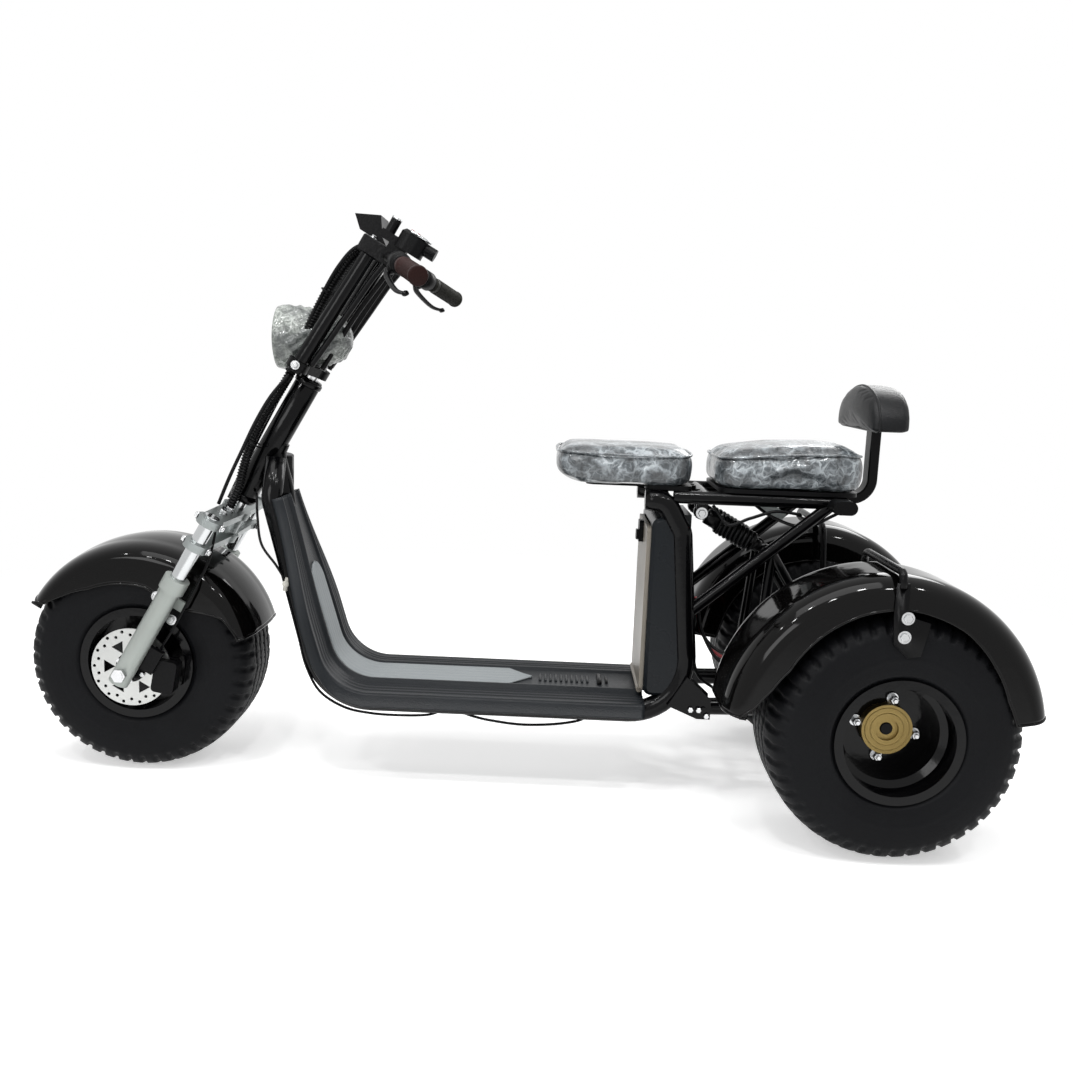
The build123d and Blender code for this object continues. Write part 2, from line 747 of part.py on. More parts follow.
# Flat bars that carry the rear fenders from the axle housing
bracket_rise = rear_fender_radius + rear_fender_wall / 2 + fit_gap
bracket_width = 30.0
bracket_thick = 4.0
bracket_gap = 6.5
bracket_inner = half_track - 130.0
bracket_outer = rear_fender_outer + bracket_gap + bracket_thick
bracket_top = rear_fender_z + bracket_rise
with BuildPart() as fender_brackets:
    for sign in (1, -1):
        with BuildSketch(Plane.XY.offset(bracket_top)):
            with Locations((rear_fender_x, sign * (bracket_outer + bracket_inner) / 2)):
                Rectangle(bracket_width, bracket_outer - bracket_inner)
        extrude(amount=bracket_thick)
        with BuildSketch(side_plane(rear_fender_x, sign * (bracket_outer - bracket_thick), bracket_top)):
            with BuildLine():
                Polyline(
                    (-15, bracket_thick),
                    (15, bracket_thick),
                    (10, -56),
                    (-4, -106),
                    (-32, -128),
                    (-56, -128),
                    (-73, -58),
                    (-10, -56),
                    (-15, bracket_thick),
                )
            make_face()
        extrude(amount=-sign * bracket_thick)
        with BuildSketch(side_plane(0, sign * bracket_inner, 0)):
            with BuildLine():
                Polyline(
                    (rear_fender_x - 15, bracket_top + bracket_thick),
                    (rear_fender_x + 15, bracket_top + bracket_thick),
                    (rear_axle_x + 20, axle_z),
                    (rear_axle_x - 20, axle_z),
                    (rear_fender_x - 15, bracket_top + bracket_thick),
                )
            make_face()
        extrude(amount=-sign * bracket_thick)
    with BuildSketch(Plane.XZ.offset(-half_track + 78)):
        with Locations((rear_axle_x, axle_z)):
            Circle(housing_radius)
    extrude(amount=2 * (half_track - 78), mode=Mode.SUBTRACT)
fender_brackets.part.label = "fender_brackets"
export_step(fender_brackets.part, "parts/fender_brackets.step")

# Controller slab hung under the pillion base, between the rails
with BuildPart() as controller:
    with BuildSketch(Plane.XZ.offset(-36)):
        with BuildLine():
            Polyline((-474, 605), (-547, 560), (-557, 577), (-484, 622.4), (-474, 605))
        make_face()
    extrude(amount=72)
controller.part.label = "controller"
export_step(controller.part, "parts/controller.step")

# Rear lamps under the pillion seat
with BuildPart() as tail_reflector:
    with BuildSketch(along_y(-560.0, -30, rail_z + 1)):
        Circle(11)
    extrude(amount=60)
tail_reflector.part.label = "tail_reflector"
export_step(tail_reflector.part, "parts/tail_reflector.step")

with BuildPart() as turn_signals:
    for sign in (1, -1):
        with BuildSketch(Plane.XZ.offset(-sign * (tube_y + rail_radius + 12) - 12)):
            with Locations((rail_end_x + 20, rail_z)):
                Circle(8)
        extrude(amount=24)
        with BuildSketch(Plane.XZ.offset(-sign * (tube_y + rail_radius + 44) - 22)):
            with Locations((rail_end_x + 20, rail_z)):
                SlotOverall(46, 26)
        extrude(amount=44)
turn_signals.part.label = "turn_signals"
export_step(turn_signals.part, "parts/turn_signals.step")

# Cable clipped to the front of the left frame tube and led under the floor
cable_radius = 3.0
cable_points = (
    on_fork(-23.5, 17.5, 408),
    on_fork(-54, 44, 372),
    on_fork(-91, 66, 335),
    (462.0, 78.0, 434.0),
    (441.0, 85.0, 400.0),
    (427.0, 90.0, 345.0),
    (414.0, 96.0, 290.0),
    (398.0, 104.0, 236.0),
    (372.0, 104.0, 190.0),
    (318.0, 104.0, 159.0),
    (262.0, 104.0, 144.0),
    (202.0, 104.0, 142.0),
    (142.0, 104.0, 144.5),
)
with BuildPart() as frame_cable:
    with BuildLine() as cable_line:
        FilletPolyline(*cable_points, radius=45)
    with BuildSketch(Plane(origin=cable_line.line @ 0, z_dir=cable_line.line % 0)):
        Circle(cable_radius)
    sweep(path=cable_line.line)
    add(frame_sides["left"].part, mode=Mode.SUBTRACT)
frame_cable.part.label = "frame_cable"
export_step(frame_cable.part, "parts/frame_cable.step")

# Fork crowns: two plates joined by posts round the stanchions
with BuildPart() as lower_crown:
    for low in (crown_low, crown_high):
        with BuildSketch(fork.offset(low)):
            with BuildLine():
                Polyline(
                    (22, 0), (20, leg_y), (-20, leg_y), (-24, 0), (-20, -leg_y), (20, -leg_y), (22, 0)
                )
            make_face()
            for sign in (1, -1):
                with Locations((0, sign * leg_y)):
                    Circle(24)
            with Locations((0, 0)):
                Circle(30)
        extrude(amount=crown_plate)
    with BuildSketch(fork.offset(crown_low)):
        with Locations((0, 0)):
            Circle(24)
    extrude(amount=crown_high - crown_low)
    for sign in (1, -1):
        with BuildSketch(fork.offset(crown_low)):
            with Locations((0, sign * leg_y)):
                Circle(stanchion_radius)
        extrude(amount=crown_high - crown_low + crown_plate, mode=Mode.SUBTRACT)
    with BuildSketch(fork.offset(crown_low)):
        with Locations((0, 0)):
            Circle(steerer_radius)
    extrude(amount=crown_high - crown_low + crown_plate, mode=Mode.SUBTRACT)
lower_crown.part.label = "lower_crown"
export_step(lower_crown.part, "parts/lower_crown.step")

with BuildPart() as steerer:
    with BuildSketch(fork.offset(crown_low)):
        Circle(steerer_radius)
    extrude(amount=yoke_low + yoke_thick + 10 - crown_low)
steerer.part.label = "steerer"
export_step(steerer.part, "parts/steerer.step")

with BuildPart() as stanchions:
    for sign in (1, -1):
        with BuildSketch(fork.offset(slider_top - slider_bore_depth + 2)):
            with Locations((0, sign * leg_y)):
                Circle(stanchion_radius)
        extrude(amount=crown_high + crown_plate + 4 - (slider_top - slider_bore_depth + 2))
stanchions.part.label = "stanchions"
export_step(stanchions.part, "parts/stanchions.step")

boss_height = front_fender_radius - 100
for side, sign in (("left", 1), ("right", -1)):
    with BuildPart() as slider:
        with BuildSketch(fork.offset(0)):
            with Locations((0, sign * leg_y)):
                Circle(slider_radius)
        extrude(amount=slider_top)
        with BuildSketch(fork.offset(slider_top - 28)):
            with Locations((0, sign * leg_y)):
                Circle(slider_collar_radius)
        extrude(amount=28)
        with BuildSketch(fork.offset(slider_bottom)):
            with Locations((0, sign * leg_y)):
                Circle(slider_radius)
        extrude(amount=-slider_bottom)
        boss_inner = front_fender_half + front_fender_wall / 2 + fit_gap
        with BuildSketch(fork.offset(boss_height)):
            with Locations((0, sign * (boss_inner + leg_y) / 2)):
                Rectangle(24, leg_y - boss_inner)
            with Locations((0, sign * (boss_inner + 3))):
                Rectangle(62, 6)
        extrude(amount=22)
        with BuildSketch(fork.offset(slider_top - slider_bore_depth)):
            with Locations((0, sign * leg_y)):
                Circle(stanchion_radius + axle_bore_gap)
        extrude(amount=slider_bore_depth, mode=Mode.SUBTRACT)
        with BuildSketch(along_y(front_axle_x, sign * leg_y - 40, axle_z)):
            Circle(axle_radius + axle_bore_gap)
        extrude(amount=80, mode=Mode.SUBTRACT)
    slider.part.label = "slider_" + side
    export_step(slider.part, "parts/slider_" + side + ".step")

hub_half = leg_y - slider_radius - 12
with BuildPart() as front_axle:
    with BuildSketch(along_y(front_axle_x, -leg_y - 32, axle_z)):
        Circle(axle_radius)
    extrude(amount=2 * (leg_y + 32))
    for sign in (1, -1):
        with BuildSketch(along_y(front_axle_x, sign * (leg_y + slider_radius + 6) - 5, axle_z)):
            RegularPolygon(14, 6)
        extrude(amount=10)
        with BuildSketch(along_y(front_axle_x, sign * (hub_half + 6) - 5.5, axle_z)):
            Circle(14)
        extrude(amount=11)
front_axle.part.label = "front_axle"
export_step(front_axle.part, "parts/front_axle.step")

# Front fender: arched shell cut to a side profile, with tabs at the fork legs
skirt_points = [(r * cos(radians(angle)), r * sin(radians(angle))) for r, angle in front_skirt_edge]
outer_points = [(300 * cos(radians(angle)), 300 * sin(radians(angle))) for angle in range(190, 29, -32)]
with BuildPart() as front_fender:
    with BuildSketch(radial_plane(front_axle_x, axle_z, front_fender_front_angle)):
        with BuildLine():
            Polyline(
                (front_fender_radius - front_fender_skirt, front_fender_half),
                (front_fender_radius - 15, front_fender_half),
                (front_fender_radius - 5, front_fender_half - 13),
                (front_fender_radius, front_fender_half - 46),
                (front_fender_radius, 46 - front_fender_half),
                (front_fender_radius - 5, 13 - front_fender_half),
                (front_fender_radius - 15, -front_fender_half),
                (front_fender_radius - front_fender_skirt, -front_fender_half),
            )
            offset(amount=front_fender_wall / 2, side=Side.BOTH)
        make_face()
    revolve(
        axis=Axis((front_axle_x, 0, axle_z), (0, -1, 0)),
        revolution_arc=front_fender_rear_angle - front_fender_front_angle,
    )
    with BuildSketch(side_plane(front_axle_x, front_fender_half + 5, axle_z)):
        with BuildLine():
            Polyline(*skirt_points, *outer_points, skirt_points[0])
        make_face()
    extrude(amount=2 * front_fender_half + 10, mode=Mode.INTERSECT)
front_fender.part.label = "front_fender"
export_step(front_fender.part, "parts/front_fender.step")

# Risers, upper yoke, handlebar and its clamp
with BuildPart() as risers:
    for sign in (1, -1):
        with BuildLine() as riser_line:
            Line(
                on_fork(riser_low_o, sign * riser_y, yoke_low - 6),
                on_fork(riser_top_o, sign * riser_y, riser_top),
            )
        with BuildSketch(Plane(origin=riser_line.line @ 0, z_dir=riser_line.line % 0)):
            Circle(riser_radius)
        sweep(path=riser_line.line)
risers.part.label = "risers"
export_step(risers.part, "parts/risers.step")

with BuildPart() as upper_yoke:
    with BuildSketch(fork.offset(yoke_low)):
        with BuildLine():
            Polyline(
                (18, 0), (riser_low_o + 14, riser_y), (riser_low_o - 14, riser_y), (-26, 0),
                (riser_low_o - 14, -riser_y), (riser_low_o + 14, -riser_y), (18, 0),
            )
        make_face()
        for sign in (1, -1):
            with Locations((riser_low_o, sign * riser_y)):
                Circle(riser_radius + 7)
        with Locations((0, 0)):
            Circle(28)
    extrude(amount=yoke_thick)
    with BuildSketch(fork.offset(yoke_low)):
        Circle(steerer_radius)
    extrude(amount=yoke_thick, mode=Mode.SUBTRACT)
    add(risers.part, mode=Mode.SUBTRACT)
upper_yoke.part.label = "upper_yoke"
export_step(upper_yoke.part, "parts/upper_yoke.step")

with BuildPart() as steerer_nut:
    with BuildSketch(fork.offset(yoke_low + yoke_thick)):
        RegularPolygon(18, 6)
        Circle(steerer_radius, mode=Mode.SUBTRACT)
    extrude(amount=10)
steerer_nut.part.label = "steerer_nut"
export_step(steerer_nut.part, "parts/steerer_nut.step")

bar_shoulder = on_fork(*bar_shoulder_at)
bar_tip = on_fork(*bar_tip_at)
with BuildPart() as handlebar:
    with BuildLine() as bar_line:
        FilletPolyline(
            bar_tip,
            bar_shoulder,
            (bar_shoulder.X, -bar_shoulder.Y, bar_shoulder.Z),
            (bar_tip.X, -bar_tip.Y, bar_tip.Z),
            radius=bar_bend,
        )
    with BuildSketch(Plane(origin=bar_line.line @ 0, z_dir=bar_line.line % 0)):
        Circle(bar_radius)
    sweep(path=bar_line.line)
handlebar.part.label = "handlebar"
export_step(handlebar.part, "parts/handlebar.step")

clamp_thick = 34.0
with BuildPart() as bar_clamp:
    with BuildSketch(fork.offset(riser_top)):
        with Locations((6, 0)):
            RectangleRounded(92, 2 * riser_y + 2 * riser_radius + 8, 12)
    extrude(amount=clamp_thick)
    add(handlebar.part, mode=Mode.SUBTRACT)
    add(risers.part, mode=Mode.SUBTRACT)
bar_clamp.part.label = "bar_clamp"
export_step(bar_clamp.part, "parts/bar_clamp.step")

# distance ahead of the steering axis, height above the clamp
block_profile = ((52, 0), (75, 21), (30, 44), (6, 9), (-6, 0))
block_half = 46.0
block_corners = [on_fork(ahead, 0, riser_top + clamp_thick + up) for ahead, up in block_profile]
# Pod on the left half of the bar: drum, knob, round end and a foot on the bar
pod_ahead = bar_shoulder_at[0] - 33
pod_side = bar_shoulder_at[1] + 21
pod_low = bar_shoulder_at[2] + 23
with BuildPart() as instrument:
    with BuildSketch(fork.offset(pod_low)):
        with Locations((pod_ahead, pod_side)):
            RectangleRounded(56, 48, 20)
    extrude(amount=38)
    chamfer(instrument.faces().sort_by(Axis(fork.origin, fork.z_dir))[-1].edges(), length=6)
    with BuildSketch(fork.offset(bar_shoulder_at[2])):
        with Locations((bar_shoulder_at[0] - 14, pod_side)):
            Rectangle(36, 24)
    extrude(amount=pod_low - bar_shoulder_at[2])
    with BuildSketch(fork.offset(pod_low)):
        with Locations((pod_ahead + 40, pod_side)):
            Rectangle(40, 22)
    extrude(amount=16)
    with BuildSketch(fork.offset(pod_low + 16)):
        with Locations((pod_ahead + 47, pod_side)):
            Circle(10)
    extrude(amount=26)
    round_end = on_fork(pod_ahead - 22, pod_side, pod_low + 22)
    with BuildSketch(Plane(origin=round_end, x_dir=(0, 1, 0), z_dir=-fork.x_dir)):
        Circle(12)
    extrude(amount=26)
    add(handlebar.part, mode=Mode.SUBTRACT)
    with BuildSketch(Plane.XZ.offset(-block_half)):
        with BuildLine():
            Polyline(*[(corner.X, corner.Z) for corner in block_corners], close=True)
        make_face()
    extrude(amount=2 * block_half)
instrument.part.label = "instrument"
export_step(instrument.part, "parts/instrument.step")

# Headlight, its face placed from the steering axis
lamp_face = on_fork(97, 0, 703)
lamp_front_x = lamp_face.X
lamp_z = lamp_face.Z
# distance behind the face, radius
lamp_profile = ((8, 60), (20, 60), (34, 57), (50, 43), (60, 34), (150, 28), (160, 16))
with BuildPart() as headlight:
    with BuildSketch(Plane.XZ):
        with BuildLine():
            Polyline(
                (lamp_front_x - 8, lamp_z),
                *[(lamp_front_x - back, lamp_z + radius) for back, radius in lamp_profile],
                (lamp_front_x - 160, lamp_z),
                close=True,
            )
        make_face()
    revolve(axis=Axis((0, 0, lamp_z), (1, 0, 0)))
headlight.part.label = "headlight"
export_step(headlight.part, "parts/headlight.step")

with BuildPart() as headlight_lens:
    with BuildSketch(Plane.YZ.offset(lamp_front_x - 8)):
        with Locations((0, lamp_z)):
            Circle(55)
    extrude(amount=8)
    fillet(headlight_lens.edges().group_by(Axis.X)[-1], radius=5)
headlight_lens.part.label = "headlight_lens"
export_step(headlight_lens.part, "parts/headlight_lens.step")

# Stubs that hold the headlight between the risers
with BuildPart() as lamp_stubs:
    with BuildSketch(Plane.XZ.offset(-riser_y)):
        with Locations((lamp_front_x - 94, lamp_z)):
            Circle(8)
    extrude(amount=2 * riser_y)
    add(headlight.part, mode=Mode.SUBTRACT)
    add(risers.part, mode=Mode.SUBTRACT)
lamp_stubs.part.label = "lamp_stubs"
export_step(lamp_stubs.part, "parts/lamp_stubs.step")

# Grips, brake levers
bar_run = (bar_tip - bar_shoulder).normalized()
with BuildPart() as grips:
    for sign in (1, -1):
        grip_dir = Vector(-bar_run.X, -sign * bar_run.Y, -bar_run.Z)
        with BuildSketch(Plane(origin=(bar_tip.X, sign * bar_tip.Y, bar_tip.Z), z_dir=grip_dir)):
            Circle(grip_radius)
            Circle(bar_radius, mode=Mode.SUBTRACT)
        extrude(amount=grip_length)
        with BuildSketch(Plane(origin=(bar_tip.X, sign * bar_tip.Y, bar_tip.Z), z_dir=grip_dir)):
            Circle(grip_radius + 1)
        extrude(amount=-6)
grips.part.label = "grips"
export_step(grips.part, "parts/grips.step")

with BuildPart() as brake_levers:
    for sign in (1, -1):
        grip_dir = Vector(-bar_run.X, -sign * bar_run.Y, -bar_run.Z)
        lever_root = Vector(bar_tip.X, sign * bar_tip.Y, bar_tip.Z) + grip_dir * (grip_length + 3)
        with BuildSketch(Plane(origin=lever_root, z_dir=grip_dir)):
            Circle(bar_radius + 6)
            Circle(bar_radius, mode=Mode.SUBTRACT)
        extrude(amount=22)
        lever_start = lever_root + grip_dir * 11 + Vector(24, 0, -8)
        with BuildSketch(Plane(origin=lever_start - Vector(12, 0, 0), z_dir=(1, 0, 0))):
            Rectangle(20, 12)
        extrude(amount=20)
        lever_end = lever_start - grip_dir * 132 + Vector(-8, 0, -30)
        with BuildLine() as lever_line:
            Line(lever_start, lever_end)
        with BuildSketch(Plane(origin=lever_line.line @ 0, z_dir=lever_line.line % 0)):
            RectangleRounded(12, 8, 3)
        sweep(path=lever_line.line)
        with Locations(lever_end):
            Sphere(8)
    add(handlebar.part, mode=Mode.SUBTRACT)
brake_levers.part.label = "brake_levers"
export_step(brake_levers.part, "parts/brake_levers.step")

# Brake caliper on the left leg, cable sleeve and brake hose
disc_y = hub_half - 3
disc_radius = 79.0
caliper_angle = 190.0
with BuildPart() as brake_caliper:
    caliper_plane = Plane(
        origin=(front_axle_x, disc_y + 5, axle_z),
        x_dir=(cos(radians(caliper_angle)), 0, sin(radians(caliper_angle))),
        z_dir=(0, 1, 0),
    )
    with BuildSketch(caliper_plane.offset(-16)):
        with Locations((disc_radius - 6, 0)):
            RectangleRounded(44, 66, 8)
    extrude(amount=32)
    with BuildSketch(caliper_plane.offset(-8.5)):
        with Locations((disc_radius - 22, 0)):
            Rectangle(60, 80)
    extrude(amount=7, mode=Mode.SUBTRACT)
    with BuildSketch(fork.offset(20)):
        with Locations((-slider_radius - 12, leg_y - 10)):
            Rectangle(30, 12)
    extrude(amount=50)
    with BuildSketch(fork.offset(0)):
        with Locations((0, leg_y)):
            Circle(slider_radius + fit_gap)
    extrude(amount=slider_top, mode=Mode.SUBTRACT)
brake_caliper.part.label = "brake_caliper"
export_step(brake_caliper.part, "parts/brake_caliper.step")

sleeve_radius = 9.5
sleeve_points = (
    (36, 22, 650),
    (37, 22, 606),
    (36, 28, 556),
    (26, 40, 500),
    (13, 44, 446),
    (4, 46, 404),
    (4, 46, crown_high + crown_plate + fit_gap),
)
with BuildPart() as cable_sleeve:
    with BuildLine() as sleeve_line:
        FilletPolyline(*[on_fork(*point) for point in sleeve_points], radius=70)
    with BuildSketch(Plane(origin=sleeve_line.line @ 0, z_dir=sleeve_line.line % 0)):
        Circle(sleeve_radius)
    sweep(path=sleeve_line.line)
cable_sleeve.part.label = "cable_sleeve"
export_step(cable_sleeve.part, "parts/cable_sleeve.step")

# Front wheel
with BuildPart() as front_rim:
    with BuildSketch(Plane.XY.offset(axle_z)):
        with BuildLine():
            Polyline(
                (front_axle_x + rim_lip_radius, -rim_width / 2),
                (front_axle_x + rim_lip_radius, -tyre_bead_width / 2 - fit_gap),
                (front_axle_x + rim_seat_radius, -tyre_bead_width / 2 - fit_gap),
                (front_axle_x + rim_seat_radius, tyre_bead_width / 2 + fit_gap),
                (front_axle_x + rim_lip_radius, tyre_bead_width / 2 + fit_gap),
                (front_axle_x + rim_lip_radius, rim_width / 2),
                (front_axle_x + rim_seat_radius - rim_wall, rim_width / 2),
                (front_axle_x + rim_seat_radius - rim_wall, 40),
                (front_axle_x + 30, 34),
                (front_axle_x + 30, hub_half),
                (front_axle_x + 12, hub_half),
                (front_axle_x + 12, -hub_half),
                (front_axle_x + 30, -hub_half),
                (front_axle_x + 30, 28),
                (front_axle_x + rim_seat_radius - rim_wall, 34),
                (front_axle_x + rim_seat_radius - rim_wall, -rim_width / 2),
                (front_axle_x + rim_lip_radius, -rim_width / 2),
            )
        make_face()
    revolve(axis=spin_axis(front_axle_x, 0))
    with BuildSketch(along_y(front_axle_x, disc_y - 2.3, axle_z)):
        Circle(31)
    extrude(amount=4.6, mode=Mode.SUBTRACT)
    with BuildSketch(along_y(front_axle_x, disc_y - 3, axle_z)):
        Circle(22)
        Circle(12, mode=Mode.SUBTRACT)
    extrude(amount=5.9)
front_rim.part.label = "front_rim"
export_step(front_rim.part, "parts/front_rim.step")

with BuildPart() as brake_disc:
    with BuildSketch(along_y(front_axle_x, disc_y - 2, axle_z)):
        Circle(disc_radius)
        Circle(22 + fit_gap, mode=Mode.SUBTRACT)
        with PolarLocations(46, 6):
            RegularPolygon(15, 3, rotation=180, mode=Mode.SUBTRACT)
        with PolarLocations(73, 14):
            Circle(3.2, mode=Mode.SUBTRACT)
        with PolarLocations(66, 14, start_angle=180 / 14):
            Circle(3.2, mode=Mode.SUBTRACT)
    extrude(amount=4)
brake_disc.part.label = "brake_disc"
export_step(brake_disc.part, "parts/brake_disc.step")


def tyre_section(x, y):
    """Section of a wide tyre whose mid plane is at y and whose centre is at x."""
    bead = tyre_bead_width / 2
    half = tyre_width / 2
    crown = tyre_crown_width / 2
    low = x + rim_lip_radius + 4
    high = x + tyre_radius - 22
    tread = x + tyre_radius
    with BuildSketch(Plane.XY.offset(axle_z)) as section:
        with BuildLine():
            Polyline(
                (low, y + bead + 8),
                (x + rim_lip_radius + 1.5, y + bead),
                (x + rim_seat_radius + fit_gap, y + bead),
                (x + rim_seat_radius + fit_gap, y - bead),
                (x + rim_lip_radius + 1.5, y - bead),
                (low, y - bead - 8),
            )
            ThreePointArc((low, y - bead - 8), (x + 165, y - half), (high, y - half + 9))
            ThreePointArc((high, y - half + 9), (tread - 7, y - half + 27), (tread, y - crown))
            Line((tread, y - crown), (tread, y + crown))
            ThreePointArc((tread, y + crown), (tread - 7, y + half - 27), (high, y + half - 9))
            ThreePointArc((high, y + half - 9), (x + 165, y + half), (low, y + bead + 8))
        make_face()
    return section.sketch


with BuildPart() as front_tyre:
    revolve(tyre_section(front_axle_x, 0), axis=spin_axis(front_axle_x, 0))
front_tyre.part.label = "front_tyre"
export_step(front_tyre.part, "parts/front_tyre.step")

# Rear wheels: deep rim, tyre and hub cap on each side
web_y = 8.0
flange_y = tyre_bead_width / 2 + fit_gap
barrel_inner = rim_seat_radius - rim_wall
# radius, distance outboard of the wheel's mid plane
rim_profile = (
    (rim_lip_radius, -rim_width / 2),
    (rim_lip_radius, -flange_y),
    (rim_seat_radius, -flange_y),
    (rim_seat_radius, flange_y),
    (rim_lip_radius, flange_y),
    (rim_lip_radius, rim_width / 2),
    (barrel_inner, rim_width / 2),
    (barrel_inner, flange_y - 34),
    (barrel_inner - 12, flange_y - 42),
    (barrel_inner - 12, web_y + 2),
    (14, web_y + 2),
    (14, web_y - 3),
    (barrel_inner, web_y - 3),
    (barrel_inner, -rim_width / 2),
    (rim_lip_radius, -rim_width / 2),
)
for side, sign in (("left", 1), ("right", -1)):
    wheel_y = sign * half_track
    with BuildPart() as rear_tyre:
        revolve(tyre_section(rear_axle_x, wheel_y), axis=spin_axis(rear_axle_x, 0))
    rear_tyre.part.label = "rear_tyre_" + side
    export_step(rear_tyre.part, "parts/rear_tyre_" + side + ".step")

    with BuildPart() as rear_rim:
        with BuildSketch(Plane.XY.offset(axle_z)):
            with BuildLine():
                Polyline(*[(rear_axle_x + r, wheel_y + sign * y) for r, y in rim_profile])
            make_face()
        revolve(axis=spin_axis(rear_axle_x, 0))
    rear_rim.part.label = "rear_rim_" + side
    export_step(rear_rim.part, "parts/rear_rim_" + side + ".step")

    with BuildPart() as rear_hub:
        with BuildSketch(along_y(rear_axle_x, wheel_y + sign * (web_y - 3 - 32.3) - 32, axle_z)):
            Circle(60)
            Circle(rear_shaft_radius + axle_bore_gap, mode=Mode.SUBTRACT)
        extrude(amount=64)
    rear_hub.part.label = "rear_hub_" + side
    export_step(rear_hub.part, "parts/rear_hub_" + side + ".step")

    with BuildPart() as hub_cap:
        with BuildSketch(along_y(rear_axle_x, wheel_y + sign * (web_y + 2 + 10.3) - 10, axle_z)):
            Circle(46)
        extrude(amount=20)
        with BuildSketch(along_y(rear_axle_x, wheel_y + sign * (web_y + 16), axle_z)):
            Circle(21)
        extrude(amount=sign * 8, mode=Mode.SUBTRACT)
        with BuildSketch(along_y(rear_axle_x, wheel_y + sign * (web_y + 2), axle_z)):
            Circle(14)
        extrude(amount=sign * 8.3, mode=Mode.SUBTRACT)
    hub_cap.part.label = "hub_cap_" + side
    export_step(hub_cap.part, "parts/hub_cap_" + side + ".step")
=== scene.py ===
# %% [markdown]
# # A three-wheel electric scooter, dressed for its portrait
#
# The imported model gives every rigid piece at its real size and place. This script adds what
# a camera sees from a step away: lacquer, cast alloy, moulded plastic, tyre tread, coil
# springs, the wrinkled film round the seats, and the small bolts.

# %% Load the frame
import math
from functools import partial

import bmesh
import bpy
import numpy as np
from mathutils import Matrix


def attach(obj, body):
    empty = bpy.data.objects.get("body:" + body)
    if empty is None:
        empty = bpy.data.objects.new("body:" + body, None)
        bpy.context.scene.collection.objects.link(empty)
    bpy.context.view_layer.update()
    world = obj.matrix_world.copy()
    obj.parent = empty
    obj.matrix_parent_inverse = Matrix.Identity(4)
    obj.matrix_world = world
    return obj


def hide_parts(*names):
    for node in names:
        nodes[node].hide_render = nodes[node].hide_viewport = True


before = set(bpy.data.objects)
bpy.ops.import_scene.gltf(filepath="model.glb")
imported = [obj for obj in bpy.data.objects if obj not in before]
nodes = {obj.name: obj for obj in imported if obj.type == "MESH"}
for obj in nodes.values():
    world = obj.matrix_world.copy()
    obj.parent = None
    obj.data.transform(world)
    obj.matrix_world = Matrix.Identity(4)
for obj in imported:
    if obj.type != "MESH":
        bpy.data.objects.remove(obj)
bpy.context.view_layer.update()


def new_object(name, data):
    """An object in the scene that shows a mesh, a camera or a lamp."""
    made = bpy.data.objects.new(name, data)
    bpy.context.scene.collection.objects.link(made)
    return made


def set_up(thing, right, up, back, spot):
    """Turns a camera or lamp to its right, up and backward directions, and puts it in its spot."""
    matrix = np.eye(4)
    matrix[:3] = np.stack([right, up, back, spot], -1)
    thing.matrix_world = matrix.T.tolist()


# %% [markdown]
# The portrait is taken from the left, a little above seat height. The camera's place and
# turn were worked out from the wheels and tubes in the picture, so they are plain numbers:
# metres for the place, degrees for the turn, and a lens for a 36 mm wide square sensor.

# %% Camera
camera_place = np.array([-0.0825, 2.1484, 0.8564])
camera_yaw, camera_pitch, camera_roll = np.radians([0.72, 9.322, 2.272])
camera_lens = 35.41

gaze = np.array([
    math.sin(camera_yaw) * math.cos(camera_pitch),
    -math.cos(camera_yaw) * math.cos(camera_pitch),
    -math.sin(camera_pitch),
])
level_right = np.array([-math.cos(camera_yaw), -math.sin(camera_yaw), 0.0])
level_up = np.cross(level_right, gaze)
tilted_right = math.cos(camera_roll) * level_right + math.sin(camera_roll) * level_up
tilted_up = math.cos(camera_roll) * level_up - math.sin(camera_roll) * level_right

camera_data = bpy.data.cameras.new("portrait_camera")
camera_data.sensor_width = 36.0
camera_data.lens = camera_lens
camera = new_object("portrait_camera", camera_data)
set_up(camera, tilted_right, tilted_up, -gaze, camera_place)
bpy.context.scene.camera = camera
bpy.context.scene.view_settings.view_transform = "Standard"

# %% [markdown]
# Every colour below is a hex value as a paint card gives it. Shaders want linear light, so
# one function does that turn. A second small function adds a node: its settings are
# properties, and its inputs are numbers or the sockets that feed them.


# %% Colour and node helpers
def linear(hex_colour):
    """sRGB hex to linear RGBA: c/12.92 below 0.04045, else ((c + 0.055)/1.055) ** 2.4."""
    channels = [int(hex_colour[i:i + 2], 16) / 255 for i in (1, 3, 5)]
    bent = [c / 12.92 if c <= 0.04045 else ((c + 0.055) / 1.055) ** 2.4 for c in channels]
    return (*bent, 1.0)


def add_node(tree, kind, inputs=None, **settings):
    """Adds one shader node with its settings, and sets or links its inputs."""
    made = tree.nodes.new("ShaderNode" + kind)
    for name, value in settings.items():
        setattr(made, name, value)
    for name, value in (inputs or {}).items():
        if isinstance(value, bpy.types.NodeSocket):
            tree.links.new(value, made.inputs[name])
        else:
            made.inputs[name].default_value = value
    return made


def node_maker(owner):
    """Empties the tree of a material or world, and returns what adds nodes to that tree."""
    owner.use_nodes = True
    owner.node_tree.nodes.clear()
    return partial(add_node, owner.node_tree)


def new_material(name):
    """An empty material, what adds nodes to it, and the object's own coordinates."""
    made = bpy.data.materials.new(name)
    node = node_maker(made)
    return made, node, node("TexCoord").outputs["Object"]


